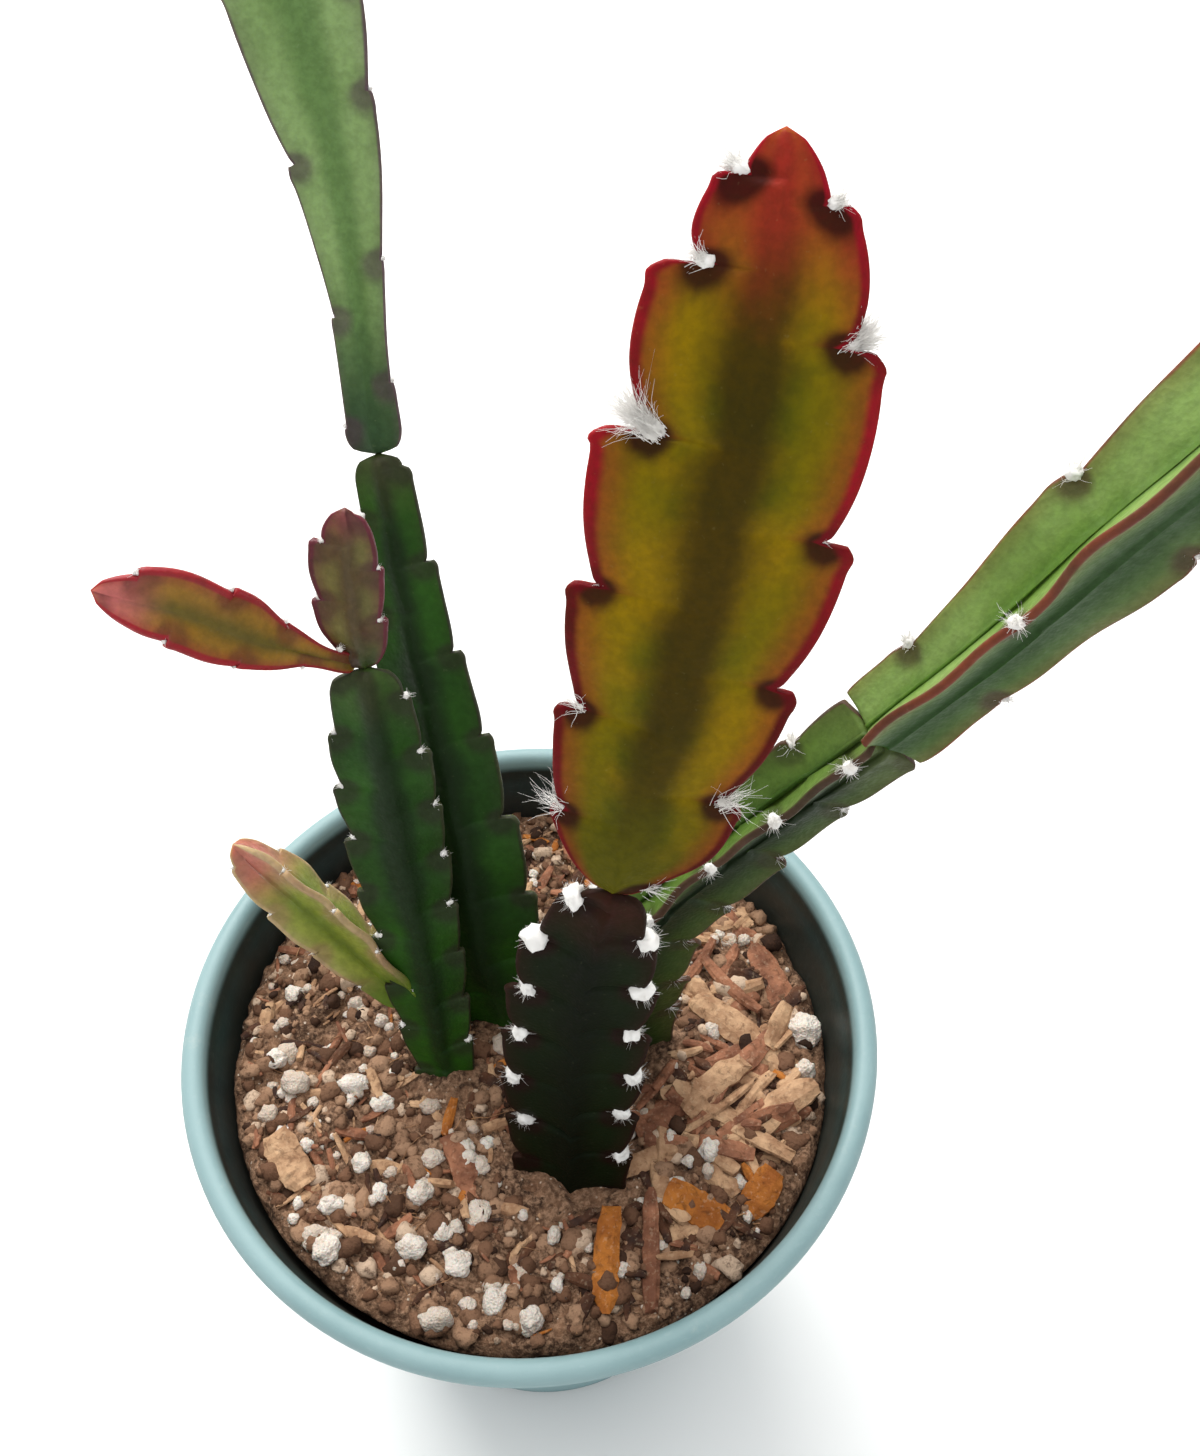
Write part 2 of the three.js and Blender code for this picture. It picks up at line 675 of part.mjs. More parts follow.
function addMix() {
  let mix = mixSolid();
  for (const stem of [FRONT_LOWER, TALL_LOWER, SHORT_LOWER, RIGHT_LOWER]) {
    mix = mix.subtract(stemSolid(stem, CLEARANCE));
  }
  BARK_CHIPS.forEach((chip, i) => {
    mix = mix.subtract(chipSolid(chip, i, CLEARANCE));
    add("bark_chip_" + twoDigits(i), chipSolid(chip, i), barkMaterial());
  });
  PERLITE.forEach((grain, i) => {
    mix = mix.subtract(perliteSolid(grain, i, CLEARANCE));
    add("perlite_" + twoDigits(i), perliteSolid(grain, i), perliteMaterial());
  });
  add("potting_mix", mainBody(mix), mixMaterial());
}

add("pot", potSolid(), plasticMaterial());
addStems();
addMix();

export default root;
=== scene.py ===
import math

import bmesh
import bpy
import numpy as np
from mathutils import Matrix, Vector, noise


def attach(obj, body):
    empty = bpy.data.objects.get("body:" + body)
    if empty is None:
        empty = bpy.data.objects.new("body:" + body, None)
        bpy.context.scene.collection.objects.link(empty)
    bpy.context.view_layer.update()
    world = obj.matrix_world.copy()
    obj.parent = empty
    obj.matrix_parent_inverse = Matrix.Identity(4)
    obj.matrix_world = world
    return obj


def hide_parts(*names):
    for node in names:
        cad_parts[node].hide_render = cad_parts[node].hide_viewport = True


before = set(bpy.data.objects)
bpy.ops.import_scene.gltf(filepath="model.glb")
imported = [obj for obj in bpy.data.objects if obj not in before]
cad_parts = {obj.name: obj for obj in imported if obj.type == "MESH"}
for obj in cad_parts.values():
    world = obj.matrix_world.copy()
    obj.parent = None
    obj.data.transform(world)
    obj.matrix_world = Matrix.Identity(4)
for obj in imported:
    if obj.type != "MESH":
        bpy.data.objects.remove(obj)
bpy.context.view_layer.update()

# A potted hurricane cactus. Shapes are written in millimetres and made in metres (MM); the
# camera, the lights and the materials are in metres.
MM = 0.001

CAMERA_PLACE = (0.0102, -0.0933, 0.2630)
CAMERA_DIP = 49.45  # degrees below the horizontal
CAMERA_LENS = 32.14
CAMERA_SENSOR = 36
LIT_POINT = (0, 0.01, 0.13)
SKY_STRENGTH = 0.62
FLOOR_REACH = 4

POT_HEIGHT = 90
DRAIN_HOLES = 6
DRAIN_HOLE_RADIUS = 3.5
DRAIN_HOLE_CIRCLE = 20
MIX_LEVEL = 80
MIX_EDGE = 45.1
MIX_FOOT = 28
MIX_BOTTOM = 2.0

SHOULDER = 0.86  # share of a lobe's length where its round shoulder starts
END_LENGTH = 3  # stretch over which a segment rounds off at its end
RING_STEP = 0.32  # distance between a stem's rings

SMALL_SLIVERS = 620
MEDIUM_SLIVERS = 30
SMALL_GRAINS = 330
CRUMBS = 1900
PEAT_FIBRES = 260

# ---------------------------------------------------------------- camera, light and floor


def add_camera():
    data = bpy.data.cameras.new("camera")
    data.sensor_width = CAMERA_SENSOR
    data.lens = CAMERA_LENS
    data.clip_start = 0.01
    data.clip_end = 20
    camera = bpy.data.objects.new("camera", data)
    camera.location = CAMERA_PLACE
    camera.rotation_euler = (math.radians(90 - CAMERA_DIP), 0, 0)
    bpy.context.collection.objects.link(camera)
    bpy.context.scene.camera = camera


def add_area_light(name, place, size, power, colour):
    """A round light at place that shines on the middle of the plant."""
    data = bpy.data.lights.new(name, "AREA")
    data.shape = "DISK"
    data.size = size
    data.energy = power
    data.color = colour
    light = bpy.data.objects.new(name, data)
    light.location = place
    light.rotation_euler = (Vector(LIT_POINT) - Vector(place)).to_track_quat("-Z", "Y").to_euler()
    bpy.context.collection.objects.link(light)


def add_lights():
    add_area_light("window", (-0.45, 0.95, 0.95), 1.0, 17, (1.0, 0.99, 0.96))
    add_area_light("overhead", (-0.1, 0.3, 1.3), 1.6, 14, (1.0, 0.99, 0.97))
    add_area_light("front_fill", (0.3, -1.1, 0.75), 1.4, 2.0, (0.97, 0.98, 1.0))
    world = bpy.data.worlds.new("studio")
    world.use_nodes = True
    sky = world.node_tree.nodes["Background"]
    sky.inputs["Color"].default_value = (0.97, 0.98, 1, 1)
    sky.inputs["Strength"].default_value = SKY_STRENGTH
    bpy.context.scene.world = world
    bpy.context.scene.view_settings.view_transform = "Standard"


def add_floor():
    mesh = bpy.data.meshes.new("floor")
    corners = [(x * FLOOR_REACH, y * FLOOR_REACH, 0) for x, y in ((-1, -1), (1, -1), (1, 1), (-1, 1))]
    mesh.from_pydata(corners, [], [(0, 1, 2, 3)])
    floor = bpy.data.objects.new("floor", mesh)
    material = bpy.data.materials.new("floor_paint")
    material.use_nodes = True
    shader = material.node_tree.nodes["Principled BSDF"]
    shader.inputs["Base Color"].default_value = (0.93, 0.93, 0.92, 1)
    shader.inputs["Roughness"].default_value = 0.9
    mesh.materials.append(material)
    bpy.context.collection.objects.link(floor)


# ---------------------------------------------------------------- material building


class Paint:
    """A node material put together a step at a time. Colours are linear (r, g, b)."""

    def __init__(self, name):
        self.material = bpy.data.materials.new(name)
        self.material.use_nodes = True
        self.tree = self.material.node_tree
        self.shader = self.tree.nodes["Principled BSDF"]
        self.place = self.tree.nodes.new("ShaderNodeTexCoord").outputs["Object"]

    def node(self, kind, **settings):
        made = self.tree.nodes.new(kind)
        for key, value in settings.items():
            setattr(made, key, value)
        return made

    def feed(self, socket, value):
        if isinstance(value, bpy.types.NodeSocket):
            self.tree.links.new(value, socket)
        elif isinstance(value, tuple) and len(value) == 3 and len(socket.default_value) == 4:
            socket.default_value = (*value, 1)
        else:
            socket.default_value = value

    def attribute(self, name):
        return self.node("ShaderNodeAttribute", attribute_name=name).outputs["Fac"]

    def noise(self, scale, detail=4, rough=0.55, stretch=None, warp=0.0):
        made = self.node("ShaderNodeTexNoise")
        where = self.place
        if stretch:
            mapping = self.node("ShaderNodeMapping")
            self.feed(mapping.inputs["Vector"], self.place)
            mapping.inputs["Scale"].default_value = stretch
            where = mapping.outputs["Vector"]
        self.feed(made.inputs["Vector"], where)
        made.inputs["Scale"].default_value = scale
        made.inputs["Detail"].default_value = detail
        made.inputs["Roughness"].default_value = rough
        made.inputs["Distortion"].default_value = warp
        return made.outputs["Fac"]

    def cells(self, scale, feature="F1"):
        made = self.node("ShaderNodeTexVoronoi", feature=feature)
        self.feed(made.inputs["Vector"], self.place)
        made.inputs["Scale"].default_value = scale
        return made.outputs["Distance"]

    def ramp(self, value, low, high, start=0.0, end=1.0):
        made = self.node("ShaderNodeMapRange", interpolation_type="SMOOTHSTEP")
        self.feed(made.inputs["Value"], value)
        made.inputs["From Min"].default_value = low
        made.inputs["From Max"].default_value = high
        made.inputs["To Min"].default_value = start
        made.inputs["To Max"].default_value = end
        return made.outputs["Result"]

    def math(self, kind, a, b=0.0):
        made = self.node("ShaderNodeMath", operation=kind)
        self.feed(made.inputs[0], a)
        self.feed(made.inputs[1], b)
        return made.outputs["Value"]

    def times(self, a, b):
        return self.math("MULTIPLY", a, b)

    def plus(self, a, b):
        return self.math("ADD", a, b)

    def mix(self, amount, a, b):
        made = self.node("ShaderNodeMix", data_type="RGBA")
        self.feed(made.inputs["Factor"], amount)
        self.feed(made.inputs["A"], a)
        self.feed(made.inputs["B"], b)
        return made.outputs["Result"]

    def bump(self, height, strength, distance):
        made = self.node("ShaderNodeBump")
        made.inputs["Strength"].default_value = strength
        made.inputs["Distance"].default_value = distance
        self.feed(made.inputs["Height"], height)
        self.tree.links.new(made.outputs["Normal"], self.shader.inputs["Normal"])

    def finish(self, colour, rough, **inputs):
        self.feed(self.shader.inputs["Base Color"], colour)
        self.feed(self.shader.inputs["Roughness"], rough)
        for name, value in inputs.items():
            self.feed(self.shader.inputs[name.replace("_", " ")], value)
        return self.material


def srgb(r, g, b):
    """Linear colour from 0 to 255 screen values."""
    shares = (r / 255, g / 255, b / 255)
    return tuple(((c + 0.055) / 1.055) ** 2.4 if c > 0.04045 else c / 12.92 for c in shares)


def band(low, high, count):
    """Faces between two closed rings of count points, the first points of which are low and high."""
    return [(low + j, low + (j + 1) % count, high + (j + 1) % count, high + j) for j in range(count)]


def make_object(name, points, faces, material, smooth=True, replaces=(), attributes=None):
    """points are in millimetres; the finished piece rides on the pot's body."""
    mesh = bpy.data.meshes.new(name)
    points = np.asarray(points, float) * MM
    mesh.from_pydata(points.tolist(), [], [list(face) for face in faces])
    mesh.validate()
    for key, values in (attributes or {}).items():
        layer = mesh.attributes.new(key, "FLOAT", "POINT")
        layer.data.foreach_set("value", np.asarray(values, np.float32))
    mesh.polygons.foreach_set("use_smooth", [smooth] * len(mesh.polygons))
    mesh.materials.append(material)
    made = bpy.data.objects.new(name, mesh)
    bpy.context.collection.objects.link(made)
    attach(made, "root")
    if replaces:
        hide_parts(*replaces)
    return made


# ---------------------------------------------------------------- winged stems

# The same stems as the solid model. route: knots of the midline. face: the way the facing side
# looks. wings: (turn in degrees, share of the reach, notches), where notches is either
# (place of the first in lobes, share of the width cut) or a list of (distance, share cut).
# reach: widths along the stem. core: half thickness of the midrib. pitch: length of a lobe.
# buried: length below the mix. neck: share of the reach left at the ends. dark_flank: number
# of the wing before the flank that lies in shade and gets painted shade. paint: name of the skin.
STEMS = {
    "front_lower_segment": {
        "route": [
            (6, -20, 64), (6.5, -20, 80), (7, -16.5, 100), (8.5, -13.5, 120), (10.8, -12, 134),
            (11.5, -12, 139.5),
        ],
        "face": (0, -1, 0.3),
        "wings": [(-92, 1, (0.05, 0.26)), (72, 0.9, (0.55, 0.26)), (165, 0.6, (0.3, 0.2))],
        "reach": [3.6, 8, 9.2, 9.8, 9.8, 8.8, 4.2],
        "core": 3.2, "pitch": 9.2, "buried": 16, "paint": "shaded",
    },
    "front_upper_segment": {
        "route": [
            (11.6, -12, 140), (14.8, -9, 152.3), (19.5, -3.5, 174), (22.4, 0.9, 190.9),
            (24.1, 5.2, 204.4), (24.9, 9.3, 215.5),
        ],
        "face": (-0.1, -1, 0.6),
        "wings": [
            (-86, 1, [(9.7, 0.16), (23, 0.2), (37.5, 0.2), (54, 0.36), (69.4, 0.4), (76.5, 0.34)]),
            (90, 0.96, [(1.5, 0.1), (15.4, 0.22), (30.6, 0.18), (46.5, 0.2), (64, 0.26), (74.5, 0.24)]),
            (180, 0.42, (0.4, 0.24)),
        ],
        "reach": [3, 9.5, 10.8, 11.8, 12.6, 13, 12.6, 11.2, 8.2, 2.2],
        "core": 2.2, "pitch": 14.8, "buried": 0, "paint": "young",
    },
    "tall_lower_segment": {
        "route": [
            (-3.5, 4, 62), (-4.5, 5, 80), (-7.2, 8, 95), (-8.9, 13.6, 112), (-11.6, 20.4, 127.3),
            (-14.1, 26.6, 140.5), (-16, 32.8, 152.4), (-17.3, 37.8, 161.8),
        ],
        "face": (0.1, -1, 0.6),
        "wings": [(-95, 1, (0, 0.2)), (75, 1, (0.5, 0.2)), (178, 0.8, (0.2, 0.2))],
        "reach": [3.5, 7, 9, 9.2, 8.4, 7.2, 6, 4.6, 3.4],
        "core": 2.8, "pitch": 12.5, "buried": 16, "paint": "mature",
    },
    "tall_upper_segment": {
        "route": [
            (-17.5, 38.3, 162.4), (-18.4, 44.2, 172.7), (-20, 54.3, 186.5), (-22.6, 62, 197.1),
            (-25.1, 69.3, 207.2), (-28.5, 78.2, 217.5), (-31.5, 86.5, 226),
        ],
        "face": (0, -1, 0.7),
        "wings": [
            (-90, 1.16, [(3, 0.1), (16, 0.12), (34, 0.16), (55, 0.2)]),
            (88, 1, [(8, 0.1), (22, 0.08), (40, 0.1), (52, 0.14)]),
            (180, 0.45, (0.3, 0.2)),
        ],
        "reach": [3.4, 2.9, 3.4, 4.7, 6.2, 7.2, 7.8, 7.4, 5],
        "core": 1.8, "pitch": 16, "buried": 0, "paint": "tall",
    },
    "short_lower_segment": {
        "route": [
            (-11, -7.5, 62), (-12.5, -5.6, 76.2), (-14.4, 1.1, 96.4), (-16.4, 8, 116.7),
            (-17.6, 12.7, 132.6), (-18.6, 16.2, 146),
        ],
        "face": (0.1, -1, 0.5),
        "wings": [(-90, 1.15, (0.3, 0.16)), (85, 1, (0.8, 0.18)), (176, 0.6, (0.1, 0.2))],
        "reach": [3, 3.8, 5, 5.8, 6.2, 6, 3.8],
        "core": 2.4, "pitch": 8.5, "buried": 16, "paint": "mature",
    },
    "short_upper_segment": {
        "route": [(-18.7, 16.5, 146.5), (-19.4, 19.9, 155.8), (-19.2, 23.2, 165.3)],
        "face": (0.1, -1, 0.5),
        "wings": [(-90, 1.1, (0.3, 0.24)), (85, 0.9, (0.8, 0.24)), (178, 0.8, (0.1, 0.2))],
        "reach": [2.8, 4, 4.3, 4, 2],
        "core": 1.8, "pitch": 7, "buried": 0, "paint": "bronze",
    },
    "red_side_shoot": {
        "route": [(-20.2, 16.6, 146.4), (-29, 11.8, 155.5), (-35.7, 8.7, 163.4), (-43, 6.7, 168.3)],
        "face": (0, -0.3, 1),
        "wings": [(28, 1, (0.3, 0.12)), (125, 1, (0.5, 0.12)), (255, 0.86, (0.8, 0.12))],
        "reach": [1.6, 1.7, 3.3, 4.8, 5.1, 4.3, 1.8],
        "core": 1.4, "pitch": 9, "buried": 0, "paint": "red",
    },
    "basal_shoot": {
        "route": [(-17, 0.6, 92), (-27.8, 5, 106.3), (-35, 7.5, 115), (-38.9, 8.4, 119.7)],
        "face": (0, -0.3, 1),
        "wings": [(10, 1, (0.3, 0.12)), (130, 1, (0.3, 0.12)), (250, 1, (0.8, 0.12))],
        "reach": [3, 4.4, 5.2, 5.4, 4.6, 2],
        "core": 1.8, "pitch": 9, "buried": 0, "paint": "basal",
    },
    "right_lower_segment": {
        "route": [
            (12, 1, 64), (12, -0.5, 80), (12, -2, 100), (16, -0.4, 116.1), (27.4, 0.6, 132.8),
            (41.2, 0.3, 152),
        ],
        "face": (-0.3, -1, 0.8),
        "wings": [(-88, 0.9, (0.3, 0.16)), (4, 0.7, (0.8, 0.16)), (120, 1, (0.1, 0.22))],
        "reach": [4, 9.4, 11, 9.8, 8.4, 7, 6.4],
        "core": 3, "pitch": 12, "buried": 16, "neck": 0.96, "dark_flank": 1, "paint": "right",
    },
    "right_upper_segment": {
        "route": [
            (41.5, 0.3, 152.5), (51.4, 0.6, 167), (59.8, 1.2, 180.7), (64.7, 1.1, 188.5),
            (70.5, 1.9, 197), (76, 3, 204.5), (80.5, 4, 211),
        ],
        "face": (-0.3, -1, 0.8),
        "wings": [
            (-104, 1, [(9, 0.12), (34, 0.14), (60, 0.14)]),
            (-12, 0.8, [(-4, 0.1), (22, 0.16), (50, 0.16)]),
            (118, 1, [(12, 0.08), (36, 0.12), (60, 0.1)]),
        ],
        "reach": [6.2, 6.4, 7.4, 8.3, 8.7, 8.3, 6],
        "core": 2.4, "pitch": 26, "buried": 0, "neck": 0.96, "dark_flank": 1, "paint": "pale",
    },
}


def through(knots, u):
    """A smooth value through evenly spaced knots, 0 <= u <= 1. u may be an array."""
    knots = np.asarray(knots, float)
    last = len(knots) - 1
    x = np.clip(u, 0, 1) * last
    i = np.minimum(np.floor(x).astype(int), last - 1)
    w = x - i
    full = np.concatenate([[2 * knots[0] - knots[1]], knots, [2 * knots[-1] - knots[-2]]])
    p0, p1, p2, p3 = full[i], full[i + 1], full[i + 2], full[i + 3]
    if knots.ndim > 1:
        w = np.asarray(w)[..., None]
    s0, s1, rise = (p2 - p0) / 2, (p3 - p1) / 2, p2 - p1
    return p1 + s0 * w + (3 * rise - 2 * s0 - s1) * w**2 + (s0 + s1 - 2 * rise) * w**3


class Midline:
    """A stem's midline, measured by its length in millimetres."""

    def __init__(self, route):
        self.points = through(np.array(route, float), np.linspace(0, 1, 601))
        steps = np.linalg.norm(np.diff(self.points, axis=0), axis=1)
        self.lengths = np.concatenate([[0], np.cumsum(steps)])
        self.total = self.lengths[-1]

    def at(self, s):
        return np.stack([np.interp(s, self.lengths, self.points[:, k]) for k in range(3)], axis=-1)

    def axes(self, s, face):
        """Unit vectors along the stem, out of its facing side, and sideways."""
        along = self.at(np.minimum(s + 0.5, self.total)) - self.at(np.maximum(s - 0.5, 0))
        along /= np.linalg.norm(along, axis=-1, keepdims=True)
        front = np.asarray(face, float) - along * (along @ np.asarray(face, float))[..., None]
        front /= np.linalg.norm(front, axis=-1, keepdims=True)
        return along, front, np.cross(along, front)


def lobe_fullness(t):
    """0 in the notch, swelling to 1, then a sudden round shoulder."""
    swell = 1 - (1 - np.clip(t / 0.8, 0, 1)) ** 1.9
    drop = np.sqrt(np.clip(1 - ((t - SHOULDER) / (1 - SHOULDER)) ** 2, 0, 1))
    nose = 0.12 * np.exp(-(((t - 0.88) / 0.05) ** 2))
    slit = 0.22 * (np.exp(-((t / 0.03) ** 2)) + np.exp(-(((1 - t) / 0.02) ** 2)))
    return np.where(t < SHOULDER, swell, drop) + nose - slit


def notches_of(stem, wing, total):
    """Distances of a wing's notches along the stem, and the share of the width each cuts."""
    pitch = stem["pitch"]
    if isinstance(wing[2], list):
        known = wing[2]
        start, end = known[0][0] - pitch, known[-1][0] + pitch
        rows = [(start, 0.1)] + known + [(end, 0.1), (end + pitch, 0.1)]
    else:
        phase, bite = wing[2]
        count = int(total / pitch) + 3
        rows = [
            ((k - 2 + phase) * pitch, bite * (1 + 0.22 * math.sin(k * 2.4 + wing[0])))
            for k in range(count + 2)
        ]
    return np.array(rows)


def end_rounding(distance, neck):
    """Share of the reach at a distance from an end of the stem, neck at the end itself."""
    return neck + (1 - neck) * np.sqrt(1 - np.clip(1 - distance / END_LENGTH, 0, 1) ** 2)


def wing_edge(stem, line, wing, s):
    """Width of one wing at s, its lift, place in the lobe, distance to the nearest notch
    (negative below it) and the wing's width in that notch."""
    rows = notches_of(stem, wing, line.total)
    i = np.clip(np.searchsorted(rows[:, 0], s, side="right") - 1, 0, len(rows) - 2)
    low, high = rows[i], rows[i + 1]
    t = (s - low[:, 0]) / (high[:, 0] - low[:, 0])
    shaped = np.clip((s - (stem["buried"] or -4)) / 4, 0, 1)
    neck = stem.get("neck", 0.5)
    ends = end_rounding(line.total - s, neck)
    if not stem["buried"]:
        ends *= end_rounding(s, neck)
    reach = np.maximum(through(stem["reach"], s / line.total) * ends, 0.6) * wing[1]
    bite = np.where(t < SHOULDER, low[:, 1], high[:, 1])
    width = reach * (1 - bite * shaped * (1 - lobe_fullness(t)))
    fade = np.minimum(shaped, np.minimum(s / 4, (line.total - s) / 4)).clip(0, 1)
    hook = np.clip((t - 0.45) / 0.45, 0, 1) ** 1.5 * np.clip((1 - t) / 0.05, 0, 1)
    nearer = t < 0.5
    away = np.where(nearer, s - low[:, 0], s - high[:, 0])
    floor = reach * (1 - np.where(nearer, low[:, 1], high[:, 1]))
    return width, 0.8 * hook * fade, t, away, floor


# Where the columns of points lie across one side of a wing, as shares of its width.
FLANK = (0.2, 0.32, 0.45, 0.58, 0.7, 0.8, 0.88, 0.94, 0.98)


def stem_mesh(name, stem):
    """Points, faces and the surface attributes of one stem segment."""
    line = Midline(stem["route"])
    rings = int(line.total / RING_STEP)
    s = np.linspace(0, line.total, rings)
    along, front, side = line.axes(s, stem["face"])
    centre = line.at(s)
    wings = sorted(stem["wings"])
    seed = sum(ord(c) for c in name) * 0.37
    columns, edge_values, notch_values, flank_values = [], [], [], []

    def column(angle, out, across, lift, edge, notch, flank):
        c, n = math.cos(angle), math.sin(angle)
        forwards = front * (out * c - across * n)[:, None]
        sideways = side * (out * n + across * c)[:, None]
        columns.append(centre + forwards + sideways + along * lift[:, None])
        edge_values.append(edge)
        notch_values.append(notch)
        flank_values.append(np.full(rings, float(flank == stem.get("dark_flank", -1))))

    for i, wing in enumerate(wings):
        angle = math.radians(wing[0])
        width, lift, t, away, floor = wing_edge(stem, line, wing, s)
        core = np.minimum(stem["core"], width * 0.5)
        margin = np.minimum(0.48, width * 0.16)
        near = np.exp(-((away / np.where(away > 0, 1.5, 2.6)) ** 2))
        phase = 2 * math.pi * s / min(stem["pitch"], 14)
        wave = 0.35 * np.sin(phase + seed + i) + 0.25 * np.sin(phase * 0.43 + 2 * seed)
        grow_in = np.clip(width / 6, 0, 1)
        for direction in (-1, 1):
            fractions = FLANK if direction < 0 else FLANK[::-1]
            if direction > 0:
                for tip in (-0.7, 0.0, 0.7):
                    out = width + margin * 0.3 * math.cos(tip * 1.5)
                    edge = np.ones(rings)
                    notch = near * np.exp(-(((width - floor) / 2.2) ** 2))
                    flank = i if tip > 0 else i - 1
                    column(angle, out, margin * tip + wave * grow_in, lift, edge, notch, flank)
            for f in fractions:
                half = margin + (core - margin) * (1 - f) ** 2.3
                swelling = 0.15 * math.sin(math.pi * f) * np.sin(math.pi * np.clip(t, 0, 1)) * grow_in
                across = direction * (half + swelling) + wave * f * f * grow_in
                edge = np.full(rings, f)
                notch = near * np.exp(-(((width * f - floor) / 2.2) ** 2))
                flank = i if direction > 0 else i - 1
                column(angle, width * f, across, lift * f**3, edge, notch, flank)
        following = wings[(i + 1) % len(wings)][0] + (360 if i + 1 == len(wings) else 0)
        middle = math.radians((wing[0] + following) / 2)
        zero = np.zeros(rings)
        column(middle, np.minimum(core, width * 0.45) * 1.02, zero, zero, zero, zero, i)
    count = len(columns)
    points = np.stack(columns, axis=1).reshape(-1, 3)
    edge = np.stack(edge_values, axis=1).ravel()
    notch = np.stack(notch_values, axis=1).ravel()
    flank = np.stack(flank_values, axis=1).ravel()
    length = np.repeat(s / line.total, count)
    faces = []
    for ring in range(rings - 1):
        faces += band(ring * count, (ring + 1) * count, count)
    start = len(points)
    points = np.vstack([points, centre[0] - along[0] * 0.5, centre[-1] + along[-1] * 0.5])
    top = (rings - 1) * count
    for j in range(count):
        k = (j + 1) % count
        faces.append((start, k, j))
        faces.append((start + 1, top + j, top + k))
    attributes = {
        "edge": np.append(edge, [0, 1]),
        "notch": np.append(notch, [0, 0]),
        "flank": np.append(flank, [0, 0]),
        "length": np.append(length, [0, 1]),
    }
    return points, faces, attributes


def stem_paint(name, face, glow, rib, margin, notch, tip, tip_from=2.0, foot=None, rim=0.86,
               rough=0.46, thin=0.25, shine=0.3, blushed=0.5, stained=0.9,
               dull=0.0, shade_flank_colour=None, foot_over=False):
    """Skin of a stem. face and glow mottle it, rib darkens the midrib, margin colours the thin
    edge, notch stains the notches, tip and foot tint the two ends, and an optional flank colour
    is painted shade on the flank that lies in shade: all as screen values."""
    paint = Paint(name)
    face, glow, rib, margin, notch, tip = (srgb(*c) for c in (face, glow, rib, margin, notch, tip))
    mix, ramp, times, plus = paint.mix, paint.ramp, paint.times, paint.plus
    edge = paint.attribute("edge")
    along = paint.attribute("length")
    cloud = paint.noise(120, 4, 0.6)
    fine = paint.noise(900, 3, 0.6)
    patches = paint.noise(70, 3, 0.5)
    wobble = times(paint.math("SUBTRACT", cloud, 0.5), 0.22)
    colour = mix(ramp(patches, 0.38, 0.62), face, glow)
    brighter = ramp(plus(edge, wobble), 0.25, 0.62)
    colour = mix(times(brighter, 0.5), colour, glow)
    ribbed = ramp(plus(edge, wobble), 0.12, 0.52, 1, 0)
    colour = mix(times(ribbed, 0.9), colour, rib)
    if foot:
        footed = ramp(plus(along, wobble), 0.0, 0.3, 1, 0)
        colour = mix(footed, colour, srgb(*foot))
    # Painted shade: the flank that lies in shade is darkened, a little less towards its edge.
    if shade_flank_colour:
        fading = ramp(edge, 0.3, 1.0, 0.95, 0.55)
        colour = mix(times(paint.attribute("flank"), fading), colour, srgb(*shade_flank_colour))
    tipped = ramp(plus(along, times(wobble, 0.6)), tip_from, tip_from + 0.2)
    colour = mix(times(tipped, 0.85), colour, tip)
    blush = ramp(plus(edge, wobble), rim - 0.3, rim + 0.08, 0, blushed)
    colour = mix(blush, colour, margin)
    ragged = plus(paint.attribute("notch"), times(wobble, 0.8))
    stain = ramp(ragged, 0.12, 0.62, 0, stained)
    colour = mix(stain, colour, notch)
    rimmed = ramp(plus(edge, times(wobble, 0.3)), rim, min(rim + 0.08, 1.0))
    dark = mix(ramp(patches, 0.4, 0.6, 0, 0.55), margin, notch)
    dark = mix(ramp(along, 0.3, 0.75, dull, 0), dark, notch)
    dark = mix(tipped, dark, margin)
    colour = mix(times(rimmed, 0.95), colour, dark)
    if foot_over:
        colour = mix(ramp(along, 0.08, 0.3, 1, 0), colour, srgb(*foot))
    shade = ramp(fine, 0.3, 0.7, 0.0, 0.22)
    colour = mix(shade, colour, (0.01, 0.015, 0.004))
    freckle = ramp(paint.noise(1700, 2, 0.5), 0.68, 0.78, 0, 0.08)
    colour = mix(freckle, colour, mix(0.4, glow, (0.5, 0.5, 0.3)))
    relief = plus(times(cloud, 0.8), times(fine, 0.35))
    relief = plus(relief, times(paint.cells(1900), 0.2))
    paint.bump(relief, 0.35, 0.0006)
    skin = ramp(fine, 0.25, 0.75, rough - 0.07, rough + 0.1)
    paint.shader.inputs["Subsurface Radius"].default_value = (0.8, 0.9, 0.25)
    paint.shader.inputs["Subsurface Scale"].default_value = 0.0022
    return paint.finish(colour, skin, Subsurface_Weight=thin, Specular_IOR_Level=shine)


